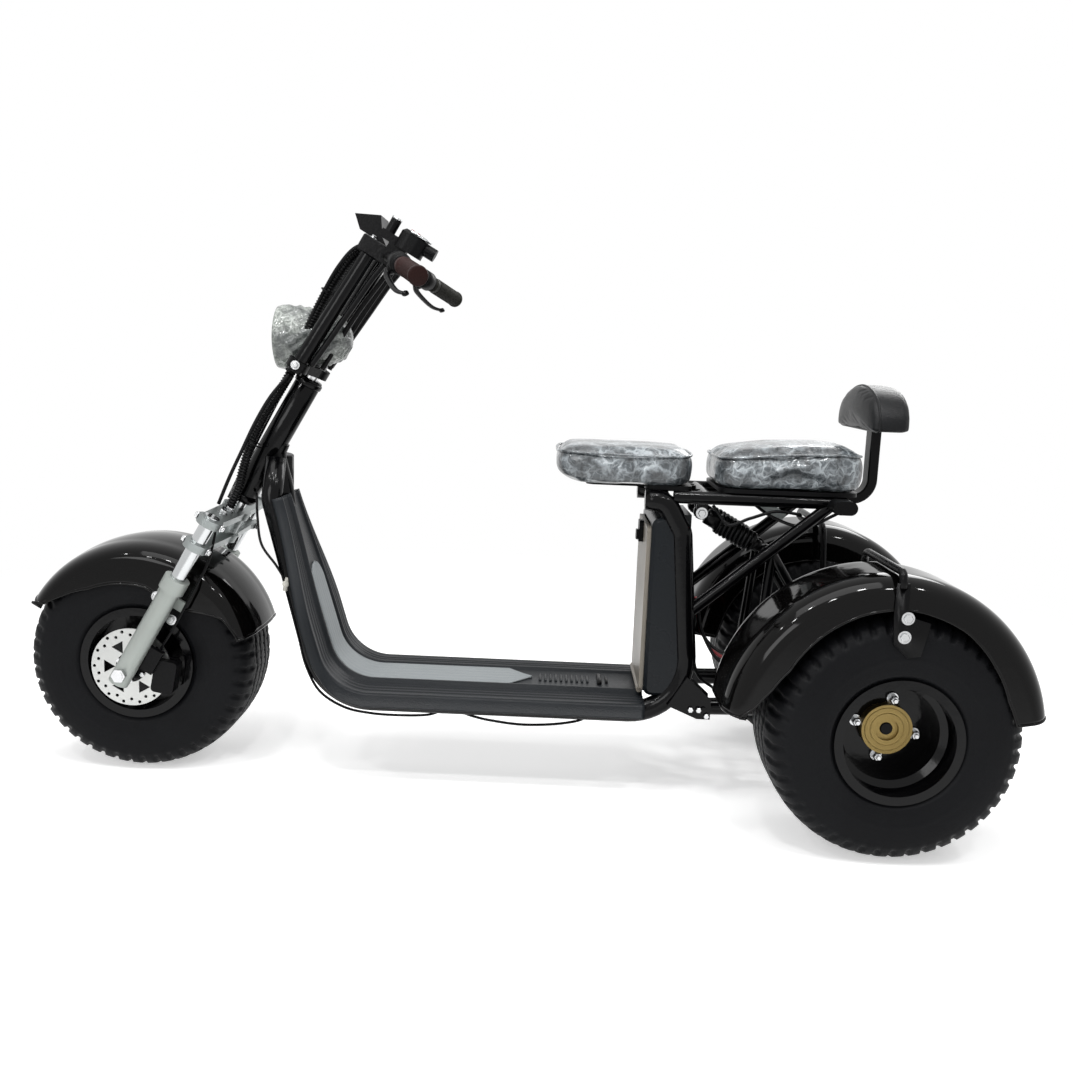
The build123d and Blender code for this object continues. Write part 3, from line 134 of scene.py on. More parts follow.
# %% [markdown]
# A white paper sweep and a big overhead softbox are the plainest product studio. The floor
# and the world are white to the camera, and to reflections in metal, at a strength of 1, while
# the lamps set how bright the scooter itself is. A row of small lamps gives lacquer its
# sparkle, as the ceiling of a showroom does.

# %% Floor, world and lamps
floor_half = 14.0
floor_mesh = bpy.data.meshes.new("paper_floor")
corners = floor_half * np.array([[-1, -1, 0], [1, -1, 0], [1, 1, 0], [-1, 1, 0]], float)
floor_mesh.from_pydata((corners - [0, 0, 0.0005]).tolist(), [], [[0, 1, 2, 3]])
floor = new_object("paper_floor", floor_mesh)


def seen_directly(node):
    """1 for rays from the camera, from reflections and through glass, else 0."""
    path = node("LightPath").outputs
    either = node("Math", {0: path["Is Camera Ray"], 1: path["Is Glossy Ray"]},
                  operation="MAXIMUM").outputs[0]
    return node("Math", {0: either, 1: path["Is Transmission Ray"]}, operation="MAXIMUM").outputs[0]


paper, node, place = new_material("white_paper")
paper_glow = 0.46
glow = node("Math", {0: seen_directly(node), 1: paper_glow}, operation="MULTIPLY").outputs[0]
near_paper = node("BsdfPrincipled", {
    "Base Color": linear("#f4f4f4"), "Roughness": 1.0, "Specular IOR Level": 0.0,
    "Emission Color": (1, 1, 1, 1), "Emission Strength": glow,
})
# Past the shadow the sweep is plain white, so no horizon shows
white_paper = node("Emission", {"Color": (1, 1, 1, 1), "Strength": 1.0})
fade_start, fade_end = 1.3, 2.6
distance = node("VectorMath", {0: place}, operation="LENGTH").outputs["Value"]
fade = node("MapRange", {"Value": distance, "From Min": fade_start, "From Max": fade_end},
            interpolation_type="SMOOTHSTEP").outputs[0]
far = node("Math", {0: fade, 1: seen_directly(node)}, operation="MULTIPLY").outputs[0]
sweep = node("MixShader", {0: far, 1: near_paper.outputs[0], 2: white_paper.outputs[0]})
node("OutputMaterial", {"Surface": sweep.outputs[0]})
floor_mesh.materials.append(paper)

world = bpy.data.worlds.new("studio_air")
node = node_maker(world)
ambient_level = 0.42
mix = node("Mix", {"Factor": seen_directly(node), "A": ambient_level, "B": 1.0}, data_type="FLOAT")
sky = node("Background", {"Color": (1, 1, 1, 1), "Strength": mix.outputs[0]})
node("OutputWorld", {"Surface": sky.outputs[0]})
bpy.context.scene.world = world

# name, place in metres, what it looks at, width, height, watts
softboxes = (
    ("overhead_box", (0.2, 0.6, 3.2), (0.0, 0.0, 0.4), 2.6, 1.6, 44.0),
    ("front_box", (1.6, 3.2, 1.9), (0.1, 0.0, 0.5), 1.4, 1.4, 34.0),
    ("back_box", (-1.8, -2.6, 2.2), (-0.1, 0.0, 0.5), 1.4, 1.4, 30.0),
)
sparkle_count, sparkle_step, sparkle_size, sparkle_watts = 7, 0.6, 0.13, 7.0
sparkles = tuple(
    (f"sparkle_{i}", (-1.8 + sparkle_step * i, 1.0 + 0.5 * (i % 2), 2.5),
     (-1.8 + sparkle_step * i, 0.0, 0.3), sparkle_size, sparkle_size, sparkle_watts)
    for i in range(sparkle_count)
)
for name, spot, target, width, height, watts in softboxes + sparkles:
    lamp = bpy.data.lights.new(name, "AREA")
    lamp.shape = "RECTANGLE"
    lamp.size, lamp.size_y, lamp.energy = width, height, watts
    holder = new_object(name, lamp)
    back = np.array(spot) - np.array(target)
    back = back / np.linalg.norm(back)
    side = np.cross([0, 1, 0.001], back)
    side = side / np.linalg.norm(side)
    set_up(holder, side, np.cross(back, side), back, spot)
print("lamps:", len(softboxes) + len(sparkles))

# %% [markdown]
# Most finishes here are one of a few kinds: lacquer, satin plastic, rubber, cast or turned
# metal. Each starts from the real material's usual gloss, and gets a grain at a real size so
# that it doesn't look like computer plastic.


# %% Plain finishes with a grain
def finish(name, colour, dark, roughness, grain_mm, bump, metallic=0.0, spread=0.08, specular=0.5):
    """A surface with a fine bump and a slow mottle between two colours.

    grain_mm is the size of the bump's grains, spread how far roughness wanders.
    """
    made, node, place = new_material(name)
    slow = node("TexNoise", {"Vector": place, "Scale": 9.0, "Detail": 4.0})
    fine = node("TexNoise", {"Vector": place, "Scale": 1000.0 / grain_mm, "Detail": 2.0})
    tint = node("Mix", {
        "Factor": slow.outputs["Fac"], "A": linear(dark), "B": linear(colour)}, data_type="RGBA")
    rough = node("MapRange", {
        "Value": slow.outputs["Fac"], "From Min": 0.3, "From Max": 0.7,
        "To Min": roughness - spread / 2, "To Max": roughness + spread / 2})
    relief = node("Bump", {
        "Height": fine.outputs["Fac"], "Strength": bump, "Distance": grain_mm / 1000.0})
    shader = node("BsdfPrincipled", {
        "Base Color": tint.outputs[2], "Roughness": rough.outputs[0], "Metallic": metallic,
        "IOR": 1.45, "Normal": relief.outputs[0], "Specular IOR Level": specular})
    node("OutputMaterial", {"Surface": shader.outputs[0]})
    return made


# Lacquer over steel: sharp, nearly black, so it shows the lamps and little else
lacquer = finish("black_lacquered_steel", "#060505", "#030303", 0.07, 40.0, 0.01,
                 spread=0.03, specular=0.2)
frame_lacquer = finish("black_powder_coat_gloss", "#050506", "#030304", 0.14, 25.0, 0.03,
                       spread=0.05, specular=0.17)
# Painted brackets and forgings: a dull, slightly pitted black
satin_black = finish("black_painted_bracket", "#09090a", "#060607", 0.3, 6.0, 0.08, specular=0.13)
black_plastic = finish("black_moulded_nylon", "#09090a", "#060607", 0.36, 3.0, 0.12, specular=0.11)
cable_skin = finish("black_cable_pvc", "#0a0a0b", "#060607", 0.32, 4.0, 0.1, specular=0.14)
# Moulded polypropylene: dark grey with a fine pebble grain and a broad soft shine
moulded = finish("grained_polypropylene", "#1f2225", "#141619", 0.40, 2.5, 0.25, specular=0.2)
cover_plastic = finish("smooth_abs_slate", "#14181c", "#0d1013", 0.28, 8.0, 0.04, specular=0.2)
door_finish = finish("painted_panel_taupe", "#837d74", "#6f6a61", 0.4, 4.0, 0.06, specular=0.3)
mat_rubber = finish("pale_floor_rubber", "#8f9496", "#7c8183", 0.5, 3.0, 0.3, specular=0.3)
# Rubber: dull, dark, mottled with dust
tyre_rubber = finish("tyre_rubber", "#131416", "#09090b", 0.46, 2.0, 0.25, specular=0.1)
near_grip = finish("red_brown_grip_rubber", "#2b120f", "#160a09", 0.46, 2.0, 0.2, specular=0.14)
# Bare metals: the default IOR, roughness from how each was made
cast_alloy = finish("sand_cast_aluminium", "#9ea3a2", "#7c8181", 0.42, 3.0, 0.3, metallic=1.0)
slider_alloy = finish("satin_aluminium_leg", "#a3a8a4", "#8f9490", 0.45, 5.0, 0.06,
                      metallic=0.6, specular=0.3)
hard_chrome = finish("hard_chrome", "#c9cbcc", "#b5b7b8", 0.14, 10.0, 0.02, metallic=1.0)
bright_zinc = finish("bright_zinc_bolt", "#d6d7d8", "#bcbdbe", 0.24, 2.0, 0.05, metallic=1.0)
disc_steel = finish("ground_stainless_disc", "#c4c5c3", "#a9aaa8", 0.32, 1.2, 0.15, metallic=1.0)
brass = finish("yellow_passivated_hub", "#a68f58", "#7c6a3e", 0.46, 2.5, 0.3, metallic=0.75)
rim_paint = finish("black_rim_enamel", "#050506", "#030304", 0.13, 20.0, 0.03, specular=0.22)
motor_cast = finish("painted_motor_casting", "#0d0d0e", "#080809", 0.42, 4.0, 0.2, specular=0.13)
reflector_red = finish("red_reflector_acrylic", "#a3122a", "#6d0c1c", 0.15, 3.0, 0.2)
wire_red = finish("red_wire_pvc", "#8e1a22", "#6e1018", 0.4, 3.0, 0.05)
clip_white = finish("pale_nylon_clip", "#c9c7bf", "#b5b3ab", 0.45, 3.0, 0.05)
display_plastic = finish("smoked_display", "#12161c", "#0b0d11", 0.1, 12.0, 0.03)
back_skin = finish("black_pu_skin", "#101113", "#0a0b0c", 0.36, 1.6, 0.35, specular=0.22)

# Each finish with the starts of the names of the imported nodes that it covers
finish_nodes = (
    (frame_lacquer, "frame_ arm_lugs seat_frame rear_arm risers"), (moulded, "footboard"),
    (mat_rubber, "floor_mat"), (cover_plastic, "battery_box"), (door_finish, "battery_door"),
    (black_plastic, "battery_pack door_latch rider_base pillion_base turn_signals instrument"),
    (back_skin, "rider_seat pillion_seat backrest_pad"), (brass, "hub_cap"),
    (satin_black, "backrest_post rear_shocks fender_brackets upper_yoke handlebar bar_clamp "
                  "headlight lamp_stubs brake_levers brake_caliper"),
    (motor_cast, "axle_housing drive_motor rear_hub"), (lacquer, "rear_fender front_fender"),
    (reflector_red, "tail_reflector"), (cable_skin, "frame_cable cable_sleeve"),
    (cast_alloy, "lower_crown controller"), (bright_zinc, "steerer_nut steerer front_axle"),
    (hard_chrome, "stanchions"), (slider_alloy, "slider_"), (display_plastic, "headlight_lens"),
    (near_grip, "grips"), (tyre_rubber, "front_tyre rear_tyre"), (rim_paint, "front_rim rear_rim"),
    (disc_steel, "brake_disc"),
)
node_finish = {start: made for made, starts in finish_nodes for start in starts.split()}
for name, piece in nodes.items():
    kind = max((k for k in node_finish if name.startswith(k)), key=len)
    piece.data.materials.clear()
    piece.data.materials.append(node_finish[kind])
print("finishes given to", len(nodes), "nodes")

# %% [markdown]
# Every new piece is a surface worked out as arrays. A grid of points becomes quads between
# neighbours; a ring of points is closed by a fan to its middle. Pieces made of several such
# chunks are joined, their doubles merged, and their faces turned outward.


# %% Mesh helpers
def grid_faces(rows, cols, wrap_rows=False, wrap_cols=False):
    """Quads that join each grid point to its next row and next column; wrapping closes a ring."""
    r = np.arange(rows if wrap_rows else rows - 1)[:, None]
    c = np.arange(cols if wrap_cols else cols - 1)[None, :]
    down, across = (r + 1) % rows, (c + 1) % cols
    corners = (r * cols + c, r * cols + across, down * cols + across, down * cols + c)
    return np.stack(corners, -1).reshape(-1, 4)


def closed_rings(rings, poles):
    """Quads between rings of points, and a fan from each end ring to its pole."""
    count, sides = rings.shape[:2]
    ring, last = np.arange(sides), (count - 1) * sides
    near = np.stack([ring, np.roll(ring, -1), np.full(sides, last + sides)], -1)
    far = np.stack([last + ring, last + np.roll(ring, -1), np.full(sides, last + sides + 1)], -1)
    points = np.concatenate([rings.reshape(-1, 3), poles])
    return points, [grid_faces(count, sides, wrap_cols=True), near, far]


def closed_strip(top, low):
    """Rows of a top and a lower surface joined into one loop each, with both ends closed."""
    loop = np.concatenate([top, low[:, ::-1]], 1)
    rows, cols = loop.shape[:2]
    at = np.arange(cols // 2 - 1)
    cap = np.stack([at, at + 1, cols - 2 - at, cols - 1 - at], -1)
    return loop, [grid_faces(rows, cols, False, True), cap, cap + (rows - 1) * cols]


def slab(low, high):
    """A plate between two outlines with as many points each."""
    count = len(low)
    ends = [np.arange(count)[None, :], np.arange(count, 2 * count)[None, :]]
    return np.concatenate([low, high]), [grid_faces(2, count, wrap_cols=True)] + ends


def add_piece(name, chunks, material, body, stands_for=(), flat=False, wall=0.0):
    """Joins chunks of (points, face arrays) into one mesh, turned outward, riding on a body."""
    points = np.concatenate([np.reshape(chunk[0], (-1, 3)) for chunk in chunks])
    starts = np.cumsum([0] + [np.size(chunk[0]) // 3 for chunk in chunks[:-1]])
    faces = []
    for (_, groups), start in zip(chunks, starts):
        for group in groups:
            faces += (group + start).tolist()
    mesh = bpy.data.meshes.new(name)
    mesh.from_pydata(points.tolist(), [], faces)
    work = bmesh.new()
    work.from_mesh(mesh)
    bmesh.ops.remove_doubles(work, verts=work.verts, dist=1e-6)
    bmesh.ops.recalc_face_normals(work, faces=work.faces)
    work.to_mesh(mesh)
    work.free()
    mesh.polygons.foreach_set("use_smooth", np.full(len(mesh.polygons), not flat))
    mesh.materials.append(material)
    made = new_object(name, mesh)
    if wall:
        shell = made.modifiers.new("wall", "SOLIDIFY")
        shell.thickness, shell.offset = wall, 0.0
    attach(made, body)
    if stands_for:
        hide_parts(*stands_for)
    return made


def frames_along(path):
    """Directions along a path, and two directions across it that turn as little as they can."""
    along = np.gradient(path, axis=0)
    along /= np.linalg.norm(along, axis=1)[:, None]
    across = np.zeros_like(along)
    start = np.cross(along[0], [0.0, 0.0, 1.0] if abs(along[0, 2]) < 0.9 else [0.0, 1.0, 0.0])
    across[0] = start / np.linalg.norm(start)
    for i in range(1, len(path)):
        flat = across[i - 1] - along[i] * (across[i - 1] @ along[i])
        across[i] = flat / np.linalg.norm(flat)
    return along, across, np.cross(along, across)


def tube(path, radius, sides=16, squash=1.0):
    """A ring of points round each point of a path: middle + radius (cos across + sin up).

    radius is one number or one for each point.
    """
    path = np.asarray(path, float)
    radius = np.broadcast_to(radius, (len(path),))[:, None, None]
    _, across, up = frames_along(path)
    turn = np.linspace(0, 2 * np.pi, sides, endpoint=False)[None, :, None]
    spokes = np.cos(turn) * across[:, None] + squash * np.sin(turn) * up[:, None]
    return closed_rings(path[:, None] + radius * spokes, path[[0, -1]])


def smooth_path(points, steps=10):
    """A Catmull-Rom curve: each span is the cubic through its ends with neighbours' slopes."""
    p = np.asarray(points, float)
    p = np.concatenate([2 * p[:1] - p[1:2], p, 2 * p[-1:] - p[-2:-1]])
    t = np.linspace(0, 1, steps, endpoint=False)[None, :, None]
    a, b, c, d = (p[i:len(p) - 3 + i, None] for i in range(4))
    square, cube = 2 * a - 5 * b + 4 * c - d, 3 * b - a - 3 * c + d
    curve = 0.5 * (2 * b + (c - a) * t + square * t ** 2 + cube * t ** 3)
    return np.concatenate([curve.reshape(-1, 3), p[-2:-1]])


def bent_path(points, radii, steps=9):
    """Straight runs joined by arcs: each corner gets the circle that touches both its runs."""
    p = np.asarray(points, float)
    runs = [p[:1]]
    for before, corner, after, radius in zip(p[:-2], p[1:-1], p[2:], radii):
        u = (before - corner) / np.linalg.norm(before - corner)
        v = (after - corner) / np.linalg.norm(after - corner)
        half = math.acos(np.clip(u @ v, -1, 1)) / 2
        centre = corner + (u + v) / np.linalg.norm(u + v) * radius / math.sin(half)
        first = corner + u * radius / math.tan(half) - centre
        last = corner + v * radius / math.tan(half) - centre
        sweep_angle = math.pi - 2 * half
        t = np.linspace(0, sweep_angle, steps)[:, None]
        runs.append(centre + (np.sin(sweep_angle - t) * first + np.sin(t) * last) / math.sin(sweep_angle))
    return np.concatenate(runs + [p[-1:]])


def rod(start, end, radius, sides=16, ease=0.0):
    """A straight bar between two points, its end rims eased by a small chamfer."""
    start, end = np.asarray(start, float), np.asarray(end, float)
    length = np.linalg.norm(end - start)
    along = (end - start) / length
    reach = np.array([0.0, ease, length - ease, length]) if ease else np.array([0.0, length])
    size = np.array([radius - ease, radius, radius, radius - ease]) if ease else radius
    return tube(start + reach[:, None] * along, size, sides)


def bolt(middle, facing, radius=0.006, height=0.005):
    """A hexagon head on a round washer, facing out along a direction."""
    middle, facing = np.asarray(middle, float), np.asarray(facing, float)
    facing = facing / np.linalg.norm(facing)
    washer = rod(middle, middle + facing * 0.0015, radius * 1.45, 20)
    head = rod(middle + facing * 0.0015, middle + facing * (0.0015 + height), radius, 6, radius * 0.12)
    return [washer, head]


def length_along(line):
    """The distance walked along a line up to each of its points."""
    return np.concatenate([[0], np.cumsum(np.linalg.norm(np.diff(line, axis=0), axis=1))])


def read_at(wanted, run, line):
    """Each column of a line read at other distances along it."""
    return np.stack([np.interp(wanted, run, column) for column in line.T], -1)


front_axle = np.array([0.7396, 0.0, 0.228])
rear_axle = np.array([-0.7064, 0.28, 0.228])
rake = math.radians(29.4)
fork_ahead = np.array([math.cos(rake), 0.0, math.sin(rake)])
fork_up = np.array([-math.sin(rake), 0.0, math.cos(rake)])
leftward = np.array([0.0, 1.0, 0.0])


def on_fork(ahead, side, height):
    """Millimetres ahead of the steering axis, to the left and up along it, as metres."""
    return front_axle + (ahead * fork_ahead + height * fork_up + side * leftward) / 1000


def fork_path(points, steps):
    """A smooth path through points given on the fork."""
    return smooth_path([on_fork(*point) for point in points], steps)


# %% [markdown]
# The tyres are wide and low, with blocks cut into the shoulders and grooves round the crown.
# The section is one smooth closed line turned about the axle, and the blocks are cut by
# taking a few millimetres off the radius wherever the turn falls between two of them.

# %% Tyres
block_count = 46
groove_sides = (-44.0, -16.0, 16.0, 44.0)
ring_radii = (124.0, 152.0, 194.0)
section = np.array([
    (101.9, 96.4), (108, 96.4), (115.2, 97.0), (120, 103.0), (130, 106.5), (148, 109.2), (166, 110),
    (184, 108.6), (199, 104.5), (210, 97.5), (218, 87), (223.5, 73), (226.6, 56), (227.8, 38),
    (228, 19), (228, 0)])
half_run = np.linspace(0, len(section) - 1, 64)
half_section = read_at(half_run, np.arange(len(section)), section)
blur = np.array([1, 2, 3, 2, 1]) / 9
padded = np.pad(half_section, ((2, 2), (0, 0)), mode="edge")
soft_section = np.stack([np.convolve(padded[:, k], blur, "valid") for k in (0, 1)], -1)
soft_section[:4] = half_section[:4]
tyre_profile = np.concatenate([soft_section, soft_section[-2::-1] * [1, -1]])


def tyre_mesh(x, y):
    """radius = section - notch depth in the shoulders - groove depth round the crown."""
    steps = block_count * 10
    turn = np.linspace(0, 2 * np.pi, steps, endpoint=False)[:, None]
    r, side = tyre_profile[None, :, 0], tyre_profile[None, :, 1]
    phase = (turn * block_count / (2 * np.pi) + 0.35 * np.sign(side) + 0.004 * np.abs(side)) % 1.0
    notch = np.clip((np.abs(phase - 0.5) - 0.30) / 0.06, 0, 1)
    shoulder = np.clip((np.abs(side) - 58) / 8, 0, 1) * np.clip((r - 196) / 10, 0, 1)
    wander = 3.0 * np.sin(turn * block_count / 2)
    rings = sum(np.clip(1.6 - np.abs(side - centre - wander) / 2.2, 0, 1) for centre in groove_sides)
    crown = np.clip((62 - np.abs(side)) / 4, 0, 1)
    sipe = np.clip((np.abs(((2 * phase) % 1.0) - 0.5) - 0.42) / 0.05, 0, 1) * crown
    lines = sum(np.exp(-((r - ring) / 1.1) ** 2) for ring in ring_radii) * (np.abs(side) > 90)
    radius = r - 4.6 * notch * shoulder - 4.0 * rings * crown - 1.6 * sipe
    out = side + np.sign(side) * 0.9 * lines - np.sign(side) * 2.0 * notch * np.clip((r - 190) / 14, 0, 1)
    grid = np.stack([x + radius / 1000 * np.cos(turn), y + out / 1000 + 0 * turn,
                     front_axle[2] + radius / 1000 * np.sin(turn)], -1)
    return grid, [grid_faces(steps, len(tyre_profile), True, True)]


wheels = (
    ("front_tyre", front_axle[0], 0.0, "front_wheel"),
    ("rear_tyre_left", rear_axle[0], 0.28, "rear_wheel_left"),
    ("rear_tyre_right", rear_axle[0], -0.28, "rear_wheel_right"),
)
for solid, x, y, body in wheels:
    tread = add_piece("tread_" + solid, [tyre_mesh(x, y)], tyre_rubber, body, [solid])
print("tyre quads:", len(tread.data.polygons))

# %% [markdown]
# The fenders are pressed steel under gloss lacquer. Each is a rounded section carried round
# the wheel's centre, and its lower edge follows a table of radius against angle. A rolled
# bead stiffens the rim, and it is what catches the light along the edge.


# %% Fenders
def fender_grid(x, z, radius, outer, inner, edge, angles, corner_wide, corner_high, crown=0.004):
    """Section of skirt, eased corner, crown, corner and skirt at every angle round a wheel."""
    quarter = np.linspace(0, np.pi / 2, 10)[1:]
    a = np.radians(angles)[:, None]
    low_outer = np.interp(angles, edge[:, 1], edge[:, 0])[:, None]
    low_inner = np.interp(angles, edge[:, 1], edge[:, 2])[:, None]
    top = radius[:, None] if np.ndim(radius) else radius
    fall = np.linspace(0, 1, 9)[None, :]
    knee = top - corner_high
    r_out = low_outer + (knee - low_outer) * fall
    r_in = low_inner + (knee - low_inner) * fall
    sign = np.sign(outer - inner)
    bend_r = knee + corner_high * np.sin(quarter)[None, :]
    bend_y = corner_wide * (1 - np.cos(quarter))[None, :]
    flat = np.linspace(0, 1, 12)[None, 1:-1]
    flat_start, flat_end = outer - sign * corner_wide, inner + sign * corner_wide
    y_flat = flat_start + (flat_end - outer + sign * corner_wide) * flat
    rise = crown * (1 - (2 * flat - 1) ** 2)
    one = np.ones_like(a)
    r = np.concatenate([r_out, bend_r * one, (top + rise) * one,
                        bend_r[:, ::-1] * one, r_in[:, ::-1]], 1)
    y = np.concatenate([outer * one * np.ones_like(fall), (outer - sign * bend_y) * one, y_flat * one,
                        (inner + sign * bend_y[:, ::-1]) * one, inner * one * np.ones_like(fall)], 1)
    return np.stack([x + r * np.cos(a), y, z + r * np.sin(a)], -1)


def fender(name, grid, body, solid):
    """A pressed shell with a rolled bead round its whole edge."""
    rows, cols = grid.shape[:2]
    add_piece(name, [(grid, [grid_faces(rows, cols)])], lacquer, body, [solid], wall=0.0022)
    rim = np.concatenate([grid[0], grid[1:, -1], grid[-1, -2::-1], grid[-2::-1, 0]])
    add_piece(name + "_bead", [tube(rim, 0.0026, 8)], lacquer, body)


front_angles = np.linspace(31, 164, 90)
front_edge = np.array([
    (234, 31, 234), (213, 34, 213), (196, 44, 196), (176, 60, 176), (168, 80, 168), (162, 100, 162),
    (150, 110, 150), (150, 128, 150), (170, 138, 170), (205, 150, 205), (218, 164, 218)], float)
front_edge[:, [0, 2]] /= 1000
front_radius, front_half = 0.244, 0.1175
fender("front_fender_shell",
       fender_grid(front_axle[0], front_axle[2], front_radius, front_half, -front_half,
                   front_edge, front_angles, 0.062, 0.030),
       "steering", "front_fender")

rear_angles = np.linspace(7, 170, 110)
rear_edge = np.array([
    (262, 7, 216), (240, 12, 213), (224, 22, 212), (216, 34, 212), (222, 50, 212), (232, 75, 212),
    (236, 95, 212), (232, 120, 212), (222, 140, 212), (216, 158, 214), (222, 170, 222)], float)
rear_edge[:, [0, 2]] /= 1000
fender_x, fender_z = -0.6834, 0.232
rear_radius = 0.285 + 0.004 * np.sin(np.radians(rear_angles)) ** 2
for side, sign in (("left", 1), ("right", -1)):
    fender("rear_fender_shell_" + side,
           fender_grid(fender_x, fender_z, rear_radius, sign * 0.389, sign * 0.191,
                       rear_edge, rear_angles, 0.05, 0.036, 0.0),
           "frame", "rear_fender_" + side)
print("fenders: one front, two rear")

# %% [markdown]
# Two bent tubes carry everything. They drop from the head tube, run under the floor, rise
# behind the battery box and hook forward under the seat. A moulded board lies on them; it
# narrows to its top and has a pale mat in the middle. Both are carried along one line.

# %% Frame tubes, neck and board
shield_top = (0.480, 0.566)
floor_bend_x, floor_z = 0.3596, 0.171
for side, sign in (("left", 1), ("right", -1)):
    line = bent_path([
        (0.476, sign * 0.030, 0.6477), (shield_top[0], sign * 0.048, shield_top[1]),
        (floor_bend_x, sign * 0.100, floor_z), (-0.374, sign * 0.100, floor_z),
        (-0.341, sign * 0.100, 0.540),
        (-0.306, sign * 0.100, 0.6014), (-0.266, sign * 0.100, 0.6014)],
        (0.048, 0.130, 0.110, 0.038, 0.038), 14)
    add_piece("side_tube_" + side, [tube(line, 0.021, 28)], frame_lacquer, "frame", ["frame_" + side])
neck_line = np.array([on_fork(-4, 0, 520), on_fork(-12, 0, 490), (0.474, 0.0, 0.585),
                      (0.466, 0.0, 0.535)])
add_piece("head_tube_and_neck", [
    rod(on_fork(0, 0, 376), on_fork(0, 0, 666), 0.026, 40, 0.002),
    rod(on_fork(0, 0, 380), on_fork(0, 0, 392), 0.0285, 40, 0.002),
    rod(on_fork(0, 0, 650), on_fork(0, 0, 662), 0.0285, 40, 0.002),
    tube(smooth_path(neck_line, 8), 0.026, 24, 0.8),
    rod((0.463, -0.048, 0.535), (0.463, 0.048, 0.535), 0.018, 24)], frame_lacquer, "frame", ["frame_neck"])

board_line = bent_path([(shield_top[0], 0, shield_top[1]), (floor_bend_x, 0, floor_z),
                        (-0.284, 0, floor_z)], (0.130,), 30)
run = length_along(board_line)
stations = np.linspace(0, run[-1], 150)
board_middle = read_at(stations, run, board_line)
board_along = np.gradient(board_middle, axis=0)
board_along /= np.linalg.norm(board_along, axis=1)[:, None]
board_up = np.cross(leftward, board_along)
# distance to the side, height of the top face, in millimetres
rib_tops = np.array([
    (0, 31), (54, 31), (57, 33), (60, 36), (65, 36.5), (69, 35), (74, 30), (80, 28), (88, 28),
    (90, 29.4), (92, 28), (102, 27.6), (104, 29.0), (106, 27.6), (117, 27.2), (119, 28.6),
    (121, 27.2), (132, 27), (138, 28.5), (143, 28), (147.5, 24), (149.5, 17), (150, 9)])


def ease(x):
    """Smooth step: 3x^2 - 2x^3 between 0 and 1."""
    x = np.clip(x, 0, 1)
    return x * x * (3 - 2 * x)


narrow = 0.50 + 0.50 * ease(stations / 0.270)
skirt = 21 - 18 * ease((stations - 0.27) / 0.16)
side_at = np.concatenate([-rib_tops[::-1, 0], rib_tops[1:, 0]])[None, :] * narrow[:, None]
top_at = np.concatenate([rib_tops[::-1, 1], rib_tops[1:, 1]])[None, :] + 0 * side_at
end_of_skirt = np.abs(side_at) > 149.2 * narrow[:, None]
top_at = np.where(end_of_skirt, np.minimum(top_at, skirt[:, None]), top_at)
under_at = np.minimum(top_at - 3.2, 24.5)
under_at = np.where(np.abs(side_at) > 145 * narrow[:, None], np.minimum(under_at, skirt[:, None]), under_at)
under_side = side_at * (1 - 3.4 / 150)
middle, up = board_middle[:, None], board_up[:, None]
top_grid = middle + up * top_at[..., None] / 1000 + leftward * side_at[..., None] / 1000
low_grid = middle + up * under_at[..., None] / 1000 + leftward * under_side[..., None] / 1000
board = add_piece("moulded_board", [closed_strip(top_grid, low_grid)], moulded, "frame", ["footboard"])

mat_start = 0.150
mat_end = float(np.interp(0.058, -board_middle[:, 0], stations))
mat_run = np.linspace(mat_start, mat_end, 170)
mat_half = 46 + 10 * ease((mat_run - 0.30) / 0.15)
mat_half *= np.sqrt(np.clip(1 - (1 - (mat_run - mat_start) / 0.045).clip(0, 1) ** 2, 0.0004, 1))
mat_half *= np.clip((mat_end - mat_run) / 0.050, 0.02, 1)
mat_middle, mat_up = (read_at(mat_run, stations, line) for line in (board_middle, board_up))
spread = np.linspace(-1, 1, 25)
waves = 0.5 * np.cos(spread * 6 * np.pi)[None, :] * (np.abs(spread) < 0.9)
swell = 33.4 + 1.6 * (1 - np.abs(spread) ** 8)[None, :] + waves
mat_top = (mat_middle[:, None] + mat_up[:, None] * swell[..., None] / 1000
           + leftward * (mat_half[:, None] * spread[None, :])[..., None] / 1000)
mat_low = mat_top - mat_up[:, None] * (swell[..., None] - 31.2) / 1000
add_piece("floor_mat_strip", [closed_strip(mat_top, mat_low)], mat_rubber, "frame", ["floor_mat"])
# Short cross ridges behind the mat's tail, and the finger hole of the board's hatch
ridges = [rod((x, -0.022, 0.2025), (x, 0.022, 0.2025), 0.0028, 10, 0.001)
          for x in np.arange(-0.075, -0.185, -0.011)]
add_piece("board_ridges", ridges, moulded, "frame")
add_piece("hatch_pull", [
    rod((-0.199, -0.03, 0.204), (-0.199, 0.03, 0.204), 0.005, 14, 0.002),
    rod((-0.214, -0.02, 0.203), (-0.214, 0.02, 0.203), 0.003, 12, 0.001)], black_plastic, "frame")
print("board quads:", len(board.data.polygons))
